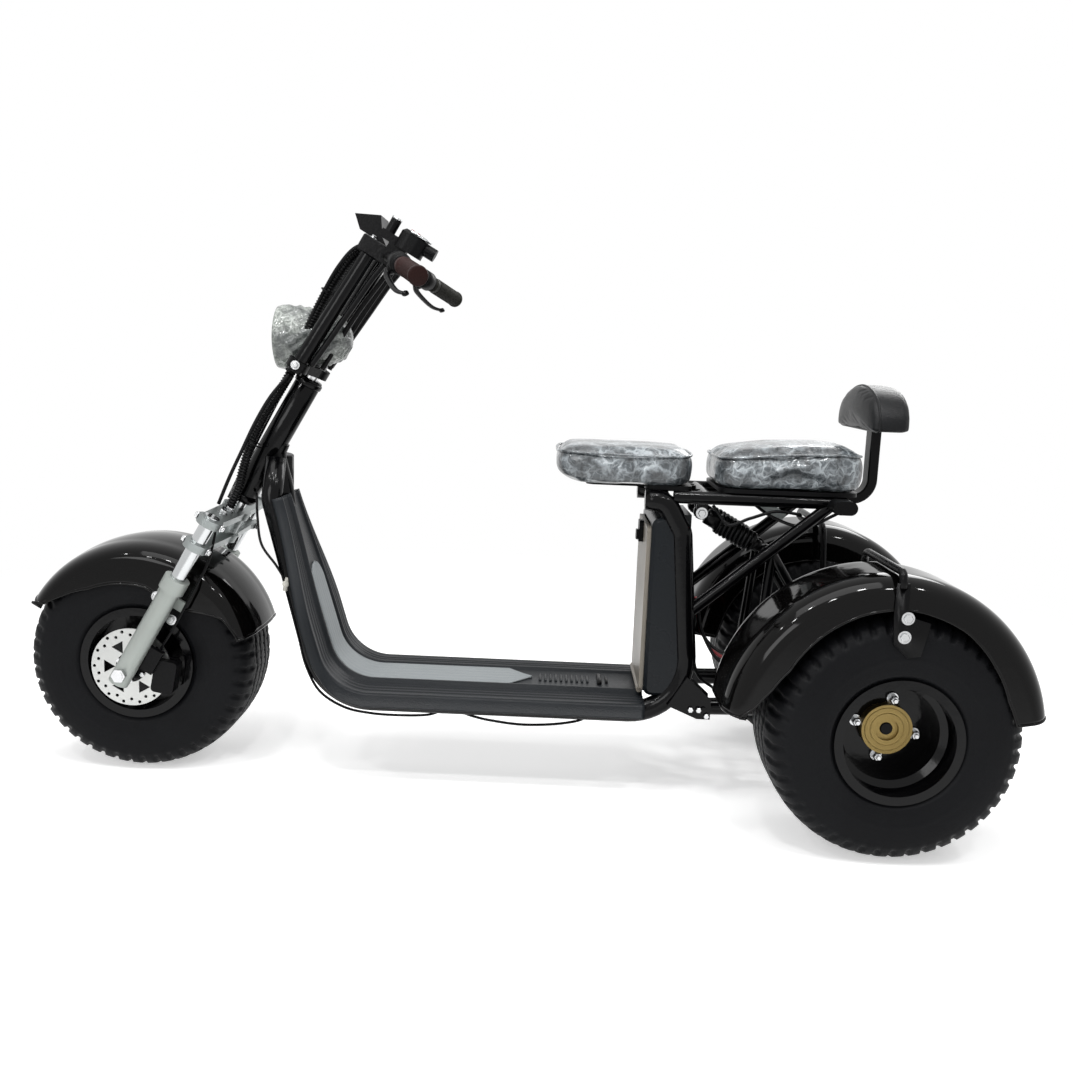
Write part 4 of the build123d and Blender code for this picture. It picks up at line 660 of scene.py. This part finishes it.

# %% [markdown]
# The seats are foam under black leather, still wrapped in thin clear film that has turned
# grey with creases. A real film folds along lines that meet in corners, so the creases are
# the edges of a cell pattern, bent by noise and fading in and out over larger patches. Their
# pale lines are painted highlights, the light that the folds catch.


# %% Film over leather
def film(name, leather, crease_highlight, cell_mm, haze):
    """Creased film: pale painted highlights where bent cells meet, haze between them, a hard gloss on top."""
    made, node, place = new_material(name)
    bend = node("TexNoise", {"Vector": place, "Scale": 38.0, "Detail": 4.0})
    shove = node("VectorMath", {0: bend.outputs["Color"], 1: (0.5, 0.5, 0.5)}, operation="SUBTRACT")
    shove = node("VectorMath", {0: shove.outputs[0], "Scale": 0.045}, operation="SCALE")
    bent = node("VectorMath", {0: place, 1: shove.outputs[0]}, operation="ADD").outputs[0]
    cells, fine_cells = (
        node("TexVoronoi", {"Vector": bent, "Scale": scale / cell_mm}, feature="DISTANCE_TO_EDGE")
        for scale in (1000.0, 2300.0))
    line, fine_line = (
        node("MapRange", {
            "Value": found.outputs["Distance"], "From Min": 0.0, "From Max": width,
            "To Min": bright, "To Max": 0.0}, interpolation_type="SMOOTHSTEP").outputs[0]
        for found, width, bright in ((cells, 0.16, 0.85), (fine_cells, 0.2, 0.4)))
    patch = node("TexNoise", {"Vector": place, "Scale": 26.0, "Detail": 5.0})
    patches = node("MapRange", {
        "Value": patch.outputs["Fac"], "From Min": 0.40, "From Max": 0.62,
        "To Min": 0.12, "To Max": 1.0}).outputs[0]
    both = node("Math", {0: line, 1: fine_line}, operation="MAXIMUM").outputs[0]
    seen = node("Math", {0: both, 1: patches}, operation="MULTIPLY").outputs[0]
    veil = node("Mix", {
        "Factor": patches, "A": linear(leather), "B": linear(haze)}, data_type="RGBA")
    # Painted highlight: the pale crease colour is laid along the coarse and fine crease lines
    tint = node("Mix", {
        "Factor": seen, "A": veil.outputs[2], "B": linear(crease_highlight)}, data_type="RGBA")
    relief = node("Bump", {"Height": both, "Strength": 0.55, "Distance": 0.0016})
    shader = node("BsdfPrincipled", {
        "Base Color": tint.outputs[2], "Roughness": 0.3, "IOR": 1.5, "Normal": relief.outputs[0],
        "Coat Weight": 0.5, "Coat Roughness": 0.1, "Specular IOR Level": 0.5})
    node("OutputMaterial", {"Surface": shader.outputs[0]})
    return made


# The third colour of each film is the painted highlight along its creases
seat_film = film("creased_film_on_black_leather", "#1c1f22", "#a9b0b4", 30.0, "#51575b")
lamp_film = film("creased_film_on_lamp", "#3f4343", "#aeb3ae", 19.0, "#646964")

# %% [markdown]
# A cushion starts as rings of one outline, shrunk toward its two faces. Remeshing makes its
# skin even, and a short cloth simulation under pressure rounds it as foam rounds leather. No
# point moves further than a cap, so the cushion keeps its size and stays on its base.


# %% Padded forms
def pillow(outline, rings, place):
    """Rings of one outline, shrunk and raised in turn; place() puts (u, v, height) into space."""
    shrink, height = rings[:, 0, None], rings[:, 1, None]
    u, v = shrink * outline[None, :, 0], shrink * outline[None, :, 1]
    poles = place(np.zeros(2), np.zeros(2), rings[[0, -1], 1])
    return closed_rings(place(u, v, height + 0 * u), poles)


cloth_steps = 20


def blown_up(piece, voxel, cap, floor_height=None):
    """Remeshes a closed form, lets cloth under pressure swell it, and stops each point at the cap."""
    bpy.context.view_layer.objects.active = piece
    remesh = piece.modifiers.new("remesh", "REMESH")
    remesh.mode, remesh.voxel_size = "VOXEL", voxel
    bpy.ops.object.modifier_apply(modifier="remesh")
    count = len(piece.data.vertices)
    start = np.empty(count * 3)
    piece.data.vertices.foreach_get("co", start)
    start = start.reshape(-1, 3)
    moved = start.copy()
    cloth = piece.modifiers.new("cloth", "CLOTH")
    cloth.settings.use_pressure = True
    cloth.settings.uniform_pressure_force = 4.0
    cloth.settings.effector_weights.gravity = 0.0
    cloth.point_cache.frame_start, cloth.point_cache.frame_end = 1, cloth_steps
    for step in range(1, cloth_steps + 1):
        bpy.context.scene.frame_set(step)
    seen = piece.evaluated_get(bpy.context.evaluated_depsgraph_get())
    blown = np.empty(len(seen.data.vertices) * 3)
    seen.data.vertices.foreach_get("co", blown)
    moved = blown.reshape(-1, 3)
    piece.modifiers.remove(cloth)
    bpy.context.scene.frame_set(1)
    shift = moved - start
    far = np.linalg.norm(shift, axis=1)[:, None]
    moved = start + shift * np.minimum(1, cap / np.maximum(far, 1e-9))
    if floor_height is not None:
        moved[:, 2] = np.maximum(moved[:, 2], floor_height)
    piece.data.vertices.foreach_set("co", moved.ravel())
    piece.data.polygons.foreach_set("use_smooth", np.full(len(piece.data.polygons), True))
    piece.data.update()
    rounder = piece.modifiers.new("rounder", "SUBSURF")
    rounder.levels = rounder.render_levels = 1
    print(piece.name, count, "points, moved up to", round(float(far.max()) * 1000, 1), "mm")


corner_turn = np.linspace(0, 2 * np.pi, 120, endpoint=False)


def squared_ring(half_long, half_wide, power=5.0):
    """|u/a|^p + |v/b|^p = 1, a rectangle with eased corners."""
    c, s = np.cos(corner_turn), np.sin(corner_turn)
    return np.stack([half_long * np.sign(c) * np.abs(c) ** (2 / power),
                     half_wide * np.sign(s) * np.abs(s) ** (2 / power)], -1)


seat_rings = np.array([
    (0.45, 0), (0.85, 0), (0.955, 0.0), (0.985, 0.06), (0.997, 0.2), (1.0, 0.4), (0.998, 0.6),
    (0.985, 0.76), (0.955, 0.89), (0.90, 0.965), (0.80, 1.0), (0.45, 1.03)])
# name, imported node, middle x, half length, table of x, underside and top in millimetres
seat_forms = (
    ("rider_cushion", "rider_seat", -0.2235, 0.1395,
     [(-366, 632, 697), (-300, 632, 698), (-190, 632, 698), (-130, 637, 699), (-97, 644, 697),
      (-81, 652, 690)]),
    ("pillion_cushion", "pillion_seat", -0.5465, 0.1485,
     [(-704, 640, 700), (-680, 634, 712), (-640, 632, 716), (-520, 632, 711), (-421, 632, 699),
      (-393, 636, 692)]),
)
seat_half_wide = 0.121
for name, solid, middle_x, half_long, heights in seat_forms:
    table = np.array(heights, float) / 1000

    def on_seat(u, v, h):
        """x along the seat, z between the underside and the top at that x."""
        x = middle_x + u
        low, high = np.interp(x, table[:, 0], table[:, 1]), np.interp(x, table[:, 0], table[:, 2])
        sag = 1 - 0.06 * (v / 0.125) ** 2
        return np.stack([x, v, low + (high - low) * h * sag], -1)

    outline = squared_ring(half_long, seat_half_wide)
    cushion = add_piece(name, [pillow(outline, seat_rings, on_seat)], seat_film, "frame", [solid])
    blown_up(cushion, 0.005, 0.006, 0.6313)
    welt = on_seat(*(0.955 * outline.T), np.full(len(outline), 0.90))
    add_piece(name + "_welt", [tube(np.concatenate([welt, welt[:1]]), 0.0026, 8)], seat_film, "frame")

# %% [markdown]
# The backrest is a half-round pad with a flat foot, made in the same way. A thin piping runs
# round its front edge, where two pieces of leather are sewn together.

# %% Backrest
arch = np.linspace(-0.12, np.pi + 0.12, 80)
half_round = np.stack([0.135 * np.cos(arch), -0.002 + 0.085 * np.maximum(np.sin(arch), 0) ** 0.8], -1)
foot = np.stack([np.linspace(-0.13, 0.13, 40)[1:-1], np.full(38, -0.003)], -1)
half_round = np.concatenate([half_round, foot])
half_round[:, 1] -= 0.035
back_rings = np.array([
    (0.40, 0.0), (0.80, 0.01), (0.93, 0.05), (0.985, 0.18), (1.0, 0.40), (1.0, 0.66),
    (0.985, 0.82), (0.94, 0.93), (0.80, 0.985), (0.40, 1.03)])


def on_back(u, v, h):
    """u across, v up, h from the rear face to the front face."""
    return np.stack([-0.7605 + 0.0785 * h, u, 0.7905 + v], -1)


pad = add_piece("backrest_cushion", [pillow(half_round, back_rings, on_back)], back_skin, "frame",
                ["backrest_pad"])
blown_up(pad, 0.0045, 0.005, 0.7525)
edge = on_back(*(0.992 * half_round.T), np.full(len(half_round), 0.80))
add_piece("backrest_piping", [tube(np.concatenate([edge, edge[:1]]), 0.0024, 8)], back_skin, "frame")

# %% [markdown]
# A coil-over shock is a damper with a wire spring round it. The wire is a helix: its middle
# goes along the shock while it turns round it, and a ring of points follows that line.

# %% Coil-over shocks
shock_top, shock_bottom = np.array([-0.383, 0, 0.575]), np.array([-0.519, 0, 0.501])
shock_along = (shock_bottom - shock_top) / np.linalg.norm(shock_bottom - shock_top)
shock_up = np.cross(shock_along, leftward)
coil_count = 8
coil_turn = np.linspace(0, 2 * np.pi * coil_count, coil_count * 22)
coil_at = np.interp(coil_turn, [0, 3, coil_turn[-1] - 3, coil_turn[-1]], [0.047, 0.050, 0.114, 0.117])
coils, bright = [], []
for sign in (1, -1):
    aside = np.array([0, sign * 0.046, 0])
    middle_line = shock_top + aside + coil_at[:, None] * shock_along
    helix = middle_line + 0.0185 * (np.cos(coil_turn)[:, None] * leftward
                                    + np.sin(coil_turn)[:, None] * shock_up)
    coils += [tube(helix, 0.0042, 10)]
    for start, end, radius in ((0.0, 0.150, 0.0085), (0.014, 0.042, 0.0165), (0.041, 0.046, 0.0215),
                               (0.118, 0.122, 0.0215), (0.122, 0.138, 0.013)):
        coils += [rod(shock_top + aside + start * shock_along,
                      shock_top + aside + end * shock_along, radius, 28, 0.001)]
    for eye in (shock_top, shock_bottom):
        coils += [rod(eye + aside - [0, 0.012, 0], eye + aside + [0, 0.012, 0], 0.014, 28, 0.002)]
    bright += bolt(shock_top + [0, sign * 0.0635, 0], (0, sign, 0), 0.008, 0.006)
    bright += bolt(shock_bottom + [0, sign * 0.0765, 0], (0, sign, 0), 0.009, 0.007)
add_piece("coil_over_pair", coils, satin_black, "frame", ["rear_shocks"])
add_piece("shock_bolts", bright, bright_zinc, "frame", flat=True)

# %% [markdown]
# Cables run from the bar down the front of the fork. The lower part is drawn into one
# corrugated sleeve, whose radius goes up and down every 6 mm along the line.


# %% Cables, sleeve and hose
def corrugated(line, radius):
    """A hose whose radius is radius + 1.1 mm times the cosine of the length walked, per 6 mm."""
    return tube(line, radius + 0.0011 * np.cos(length_along(line) * 2 * np.pi / 0.006), 14)


sleeve_line = fork_path((
    (36, 22, 664), (37, 22, 606), (38, 28, 556), (33, 38, 500), (20, 43, 446), (8, 46, 404),
    (4, 46, 360)), 70)
add_piece("corrugated_sleeve", [corrugated(sleeve_line, 0.0088)], cable_skin, "steering",
          ["cable_sleeve"])
upper_line = fork_path((
    (22, 56, 948), (38, 54, 915), (45, 50, 860), (46, 46, 800), (43, 38, 730), (38, 24, 660)), 70)
add_piece("corrugated_sleeve_upper", [corrugated(upper_line, 0.0098)], cable_skin, "steering")
cable_routes = (
    (0.0060, ((-6, 22, 962), (30, 24, 935), (44, 24, 880), (46, 22, 800), (42, 18, 720), (38, 18, 655))),
    (0.0052, ((-6, -14, 962), (26, -14, 935), (42, -12, 880), (44, -8, 800), (41, 2, 720), (37, 14, 655))),
    (0.0052, ((-6, -50, 962), (24, -50, 935), (38, -48, 880), (40, -42, 800), (38, -28, 720), (36, 4, 655))),
    (0.0035, ((-6, 66, 966), (34, 70, 940), (48, 66, 890), (50, 58, 820), (46, 46, 740), (40, 30, 655))),
    (0.0110, ((-30, -72, 938), (-24, -72, 900), (-18, -72, 830), (-12, -70, 760), (-6, -66, 700))),
    (0.0060, ((-30, -30, 938), (-26, -32, 900), (-20, -34, 830), (-17, -34, 760), (-16, -32, 697))),
    (0.0052, ((-32, 22, 938), (-28, 24, 900), (-20, 26, 830), (-17, 28, 760), (-16, 30, 697))),
    (0.0062, ((-26, 72, 938), (-20, 73, 900), (-14, 74, 830), (-8, 74, 760), (-2, 74, 697))),
    (0.0050, ((30, 30, 655), (36, 6, 600), (36, -4, 540), (34, -10, 480), (30, -14, 420), (26, -14, 362))),
    (0.0036, ((34, 34, 655), (42, 46, 600), (42, 52, 540), (36, 60, 480), (30, 66, 420), (22, 70, 362))),
)
cables = [tube(fork_path(route, 12), radius, 12) for radius, route in cable_routes]
add_piece("fork_cables", cables, cable_skin, "steering")
ties = []
tie_turn = np.linspace(0, 2 * np.pi, 24, endpoint=False)
# millimetres ahead, to the side and up, then half the tie's length and depth
for ahead, side, height, wide, deep in ((46, 30, 835, 15, 38), (41, 22, 700, 14, 22), (25, 42, 500, 16, 17)):
    ring = np.array([on_fork(ahead + wide * math.cos(t), side + deep * math.sin(t), height)
                     for t in tie_turn])
    ties.append(tube(np.concatenate([ring, ring[:2]]), 0.0016, 8))
add_piece("cable_ties", ties, black_plastic, "steering")
hose_line = fork_path((
    (10, 70, 362), (-8, 118, 330), (-30, 136, 270), (-34, 140, 190), (-36, 140, 110), (-34, 138, 66)), 12)
add_piece("brake_hose", [tube(hose_line, 0.0026, 10)], cable_skin, "steering")
frame_route = [
    on_fork(-23.5, 17.5, 408), on_fork(-54, 44, 372), on_fork(-91, 66, 335), (0.462, 0.078, 0.434),
    (0.441, 0.085, 0.400), (0.427, 0.090, 0.345), (0.412, 0.096, 0.290), (0.396, 0.102, 0.236),
    (0.368, 0.104, 0.186), (0.318, 0.104, 0.155), (0.262, 0.104, 0.1445), (0.202, 0.104, 0.143),
    (0.150, 0.103, 0.146), (0.122, 0.098, 0.154)]
add_piece("frame_cable_run", [tube(smooth_path(frame_route, 10), 0.0026, 10)], cable_skin, "frame",
          ["frame_cable"])
droop = smooth_path([
    (0.085, 0.098, 0.154), (0.055, 0.104, 0.147), (0.02, 0.106, 0.141), (-0.04, 0.108, 0.136),
    (-0.10, 0.108, 0.139), (-0.15, 0.106, 0.147), (-0.175, 0.098, 0.155)], 10)
add_piece("floor_cable_droop", [tube(droop, 0.0026, 10)], cable_skin, "frame")
add_piece("cable_clip", [
    rod((0.4405, 0.078, 0.398), (0.4405, 0.094, 0.402), 0.0068, 14, 0.0015),
    rod((0.4435, 0.086, 0.386), (0.4375, 0.086, 0.414), 0.005, 12, 0.001)], clip_white, "frame")
print("cable lines:", len(cable_routes) + 3)

# %% [markdown]
# Small bright fasteners give a machine its scale. Every one is a hexagon head on a washer,
# placed where two pieces are really held together.

# %% Fasteners
circle = np.linspace(0, 2 * np.pi, 73)
# height above the rim, radius, sides and eased edge of a washer, a nut and a stud
nut_steps = ((0.004, 0.0115, 24, 0.001), (0.018, 0.0082, 6, 0.0015), (0.024, 0.0045, 16, 0.001))
for side, sign in (("left", 1), ("right", -1)):
    body = "rear_wheel_" + side
    nuts = []
    for k in range(4):
        angle = math.radians(10.8 + 90 * k)
        offset = [0.055 * math.cos(angle), sign * 0.290, 0.055 * math.sin(angle)]
        spot = rear_axle * [1, 0, 1] + offset
        nuts += [rod(spot, spot + [0, sign * reach, 0], radius, sides, eased)
                 for reach, radius, sides, eased in nut_steps]
    add_piece("wheel_nuts_" + side, nuts, bright_zinc, body, flat=True)
    centre = rear_axle * [1, 0, 1] + [0, sign * 0.2965, 0]
    add_piece("shaft_end_" + side, [
        rod(centre, centre + [0, sign * 0.010, 0], 0.0115, 32, 0.0015),
        rod(centre, centre + [0, sign * 0.0065, 0], 0.0165, 6, 0.0015)], satin_black, body, flat=True)
    rings = []
    for r in (0.030, 0.040):
        line = [centre[0] + r * np.cos(circle), 0 * circle + centre[1] + sign * 0.0138,
                centre[2] + r * np.sin(circle)]
        rings.append(tube(np.stack(line, -1), 0.0009, 8))
    add_piece("cap_rings_" + side, rings, brass, body)

fork_bolts = []
for ahead, height in ((-22, 128), (24, 154)):
    fork_bolts += bolt(on_fork(ahead, 131, height), (0, 1, 0), 0.0075, 0.006)
for height in (296, 350):
    for side in (165, -165):
        for sign in (1, -1):
            fork_bolts += bolt(on_fork(sign * 24.5, side, height), sign * fork_ahead, 0.0055, 0.005)
for side in (60, -60, 100, -100):
    fork_bolts += bolt(on_fork(0, side, 358.5), fork_up, 0.0065, 0.006)
for sign in (1, -1):
    fork_bolts += bolt(on_fork(20, sign * 98, 685), (0, sign, 0), 0.006, 0.006)
add_piece("fork_bolts", fork_bolts, bright_zinc, "steering", flat=True)

disc_bolts = []
for k in range(6):
    angle = math.radians(30 + 60 * k)
    spot = front_axle + [0.027 * math.cos(angle), 0.1335, 0.027 * math.sin(angle)]
    disc_bolts += [rod(spot, spot + [0, 0.004, 0], 0.0048, 6, 0.0006)]
add_piece("disc_bolts", disc_bolts, bright_zinc, "front_wheel", flat=True)

strap_y = 0.3938
frame_bolts = []
for sign in (1, -1):
    for dx, z in ((-0.004, 0.454), (-0.001, 0.421)):
        spot = np.array([fender_x + dx - 0.008, sign * strap_y, z])
        frame_bolts += bolt(spot, (0, sign, 0), 0.0078, 0.0048)
    for x, z in ((-0.376, 0.190), (-0.392, 0.190), (-0.408, 0.178)):
        frame_bolts += [rod((x, sign * 0.129, z), (x, sign * 0.136, z), 0.0055, 6, 0.0008)]
    frame_bolts += bolt((-0.655, sign * 0.113, 0.6094), (0, sign, 0), 0.007, 0.005)
add_piece("frame_bolts", frame_bolts, bright_zinc, "frame", flat=True)
print("fasteners set")

# %% [markdown]
# The rear fenders hang from a bent round bar that goes over each of them and joins the flat
# strap outside. The motor's wires come out in front of it.

# %% Fender bars and motor wires
bars = []
# strap outline: millimetres behind the fender's middle, height above the fender's centre
strap = np.array([(-11, 282), (11, 282), (12, 226), (8, 176), (-18, 152), (-40, 156), (-52, 214),
                  (-12, 226)]) / 1000
for sign in (1, -1):
    over = bent_path([
        (-0.700, sign * 0.148, 0.240), (fender_x, sign * 0.156, 0.530),
        (fender_x, sign * 0.3855, 0.5315), (fender_x, sign * 0.3925, 0.505)], (0.030, 0.014), 10)
    outline = np.stack([fender_x + strap[:, 0], 0 * strap[:, 0], fender_z + strap[:, 1]], -1)
    bars += [tube(over, 0.0072, 14),
             slab(outline + [0, sign * 0.3905, 0], outline + [0, sign * strap_y, 0])]
add_piece("fender_bars", bars, satin_black, "frame", ["fender_brackets"])
wires = []
for dy, lift in ((0.050, 0.0), (0.062, 0.012), (0.074, -0.008)):
    route = [(-0.630, dy, 0.250), (-0.560, dy + 0.02, 0.262 + lift), (-0.500, dy + 0.03, 0.300 + lift),
             (-0.440, dy + 0.02, 0.285 + lift), (-0.400, dy, 0.330), (-0.384, dy - 0.01, 0.400)]
    wires.append(tube(smooth_path(route, 10), 0.0034, 10))
add_piece("motor_wires_black", wires[1:], cable_skin, "frame")
add_piece("motor_wire_red", wires[:1], wire_red, "frame")
loops = [smooth_path(route, 10) for route in (
    [(-0.400, 0.090, 0.595), (-0.430, 0.104, 0.560), (-0.470, 0.112, 0.575), (-0.520, 0.108, 0.590),
     (-0.570, 0.100, 0.585)],
    [(-0.470, 0.030, 0.610), (-0.520, 0.070, 0.575), (-0.580, 0.095, 0.560), (-0.630, 0.105, 0.585),
     (-0.655, 0.100, 0.600)],
    [(-0.352, 0.060, 0.470), (-0.368, 0.078, 0.400), (-0.376, 0.084, 0.330), (-0.392, 0.075, 0.250),
     (-0.430, 0.060, 0.215)],
)]
add_piece("seat_wires", [tube(route, 0.0032, 10) for route in loops], cable_skin, "frame")

# %% [markdown]
# The headlight is still in its bag of film, tied behind the lens, so its shell shows only as
# a soft round bulk. The bag is a barrel turned about the lamp's axis and crumpled by waves.

# %% Headlight in its film
lamp_x, lamp_z = 0.479, 0.888
lamp_at = np.linspace(0, 1, 44)
lamp_reach = np.interp(lamp_at, [0, 0.02, 0.08, 0.3, 0.5, 0.72, 0.9, 1.0],
                       [0.050, 0.061, 0.0635, 0.0630, 0.056, 0.050, 0.040, 0.016])
lamp_turn = np.linspace(0, 2 * np.pi, 110, endpoint=False)[None, :]
back = lamp_at[:, None]
crumple = (0.0014 * np.sin(9 * lamp_turn + 14 * back) + 0.0012 * np.sin(17 * lamp_turn - 31 * back)
           + 0.0010 * np.sin(5 * lamp_turn + 47 * back + 2 * np.sin(3 * lamp_turn)))
crumple *= np.clip((back - 0.05) / 0.1, 0, 1)
bag_r = lamp_reach[:, None] + crumple
bag_front, bag_length = lamp_x + 0.0015, 0.150
bag = np.stack([bag_front - bag_length * back + 0 * bag_r, 0.93 * bag_r * np.cos(lamp_turn),
                lamp_z + bag_r * np.sin(lamp_turn)], -1)
bag_poles = [[bag_front, 0, lamp_z], [lamp_x - 0.149, 0, lamp_z]]
add_piece("headlight_film", [closed_rings(bag, bag_poles)], lamp_film, "steering", ["headlight"])

# %% [markdown]
# Two bars clamp the handlebar to the risers. Round switch pods, a chromed rim on the left
# one, ribbed grips and cast levers sit beside it, all along the bar's own line.

# %% Bar clamp, pods, grips and levers
shoulder, tip = on_fork(-27.5, 92, 955.5), on_fork(-131, 328, 953)
block = ((-46, -76), (34, -76), (38, -60), (38, 60), (34, 76), (-46, 76), (-50, 60), (-50, -60))
block_faces = (np.array([on_fork(ahead, side, height) for ahead, side in block]) for height in (934, 969))
clamp = add_piece("clamp_block", [slab(*block_faces)], satin_black, "steering", ["bar_clamp"], flat=True)
soft_edge = clamp.modifiers.new("edges", "BEVEL")
soft_edge.width, soft_edge.segments = 0.004, 3
clamp_bolts = sum((bolt(on_fork(a, b, 969), fork_up, 0.005, 0.004) for a in (-38, 20) for b in (50, -50)), [])
add_piece("clamp_bolts", clamp_bolts, bright_zinc, "steering", flat=True)

inward = (shoulder - tip) / np.linalg.norm(tip - shoulder)
pods, grips, levers = [], [], []
grip_at = np.linspace(0, 0.122, 132)
ribbed = (grip_at > 0.012) * (grip_at < 0.110)
grip_radius = 0.0163 + 0.0008 * np.sign(np.sin(grip_at * 2 * np.pi / 0.0055)) * ribbed
# the open end is a rounded collar
grip_radius[:3] = (0.0150, 0.0172, 0.0178)
grip_radius[3:8] = 0.0180
for sign in (1, -1):
    flip = np.array([1.0, float(sign), 1.0])
    line = tip + (grip_at[:, None] - 0.005) * inward
    grips.append(tube(line * flip, grip_radius, 28))
    for start, end, radius in ((0.1265, 0.133, 0.0185), (0.134, 0.166, 0.0205), (0.168, 0.176, 0.017)):
        pods += [rod((tip + start * inward) * flip, (tip + end * inward) * flip, radius, 26, 0.003)]
    root = tip + 0.150 * inward + np.array([0.020, 0.0, -0.012])
    knuckle = root - 0.020 * inward + np.array([0.006, 0, -0.010])
    blade = [root, knuckle, knuckle - 0.060 * inward + np.array([-0.004, 0, -0.014]),
             tip + 0.034 * inward + np.array([0.010, 0, -0.036])]
    blade = smooth_path(blade, 12)
    pods += [rod(root * flip, (root + np.array([-0.022, 0, 0.008])) * flip, 0.0105, 20, 0.002)]
    levers += [tube(blade * flip, np.interp(np.linspace(0, 1, len(blade)), [0, 0.2, 0.9, 0.94, 1.0],
                                            [0.0075, 0.0062, 0.0045, 0.0078, 0.004]), 16, 0.7)]
add_piece("switch_pods", pods, black_plastic, "steering")
grip_dark = finish("olive_grey_grip_rubber", "#23231e", "#131310", 0.5, 2.0, 0.2, specular=0.14)
add_piece("grip_left", grips[:1], near_grip, "steering", ["grips"])
add_piece("grip_right", grips[1:], grip_dark, "steering")
add_piece("cast_levers", levers, satin_black, "steering", ["brake_levers"])
rim_turn = np.linspace(-0.3, 1.9, 40)[:, None]
pod_middle = on_fork(-60.5, 113, 1016)
rim_line = (pod_middle + 0.029 * np.cos(rim_turn) * -fork_ahead
            + 0.025 * np.sin(rim_turn) * leftward)
add_piece("pod_rim", [tube(rim_line, 0.0024, 10),
                      rod(on_fork(-13.5, 113, 1020), on_fork(-13.5, 113, 1024), 0.0106, 24, 0.0008)],
          hard_chrome, "steering")
buttons = [rod(on_fork(ahead, 113, 1015), on_fork(ahead, 113, 1020), 0.0042, 16, 0.001)
           for ahead in (-50, -62)]
add_piece("pod_buttons", buttons, reflector_red, "steering")
print("bar pieces set")

# %% [markdown]
# The last cell brings the scene up to date.

# %% Final update
bpy.context.view_layer.update()
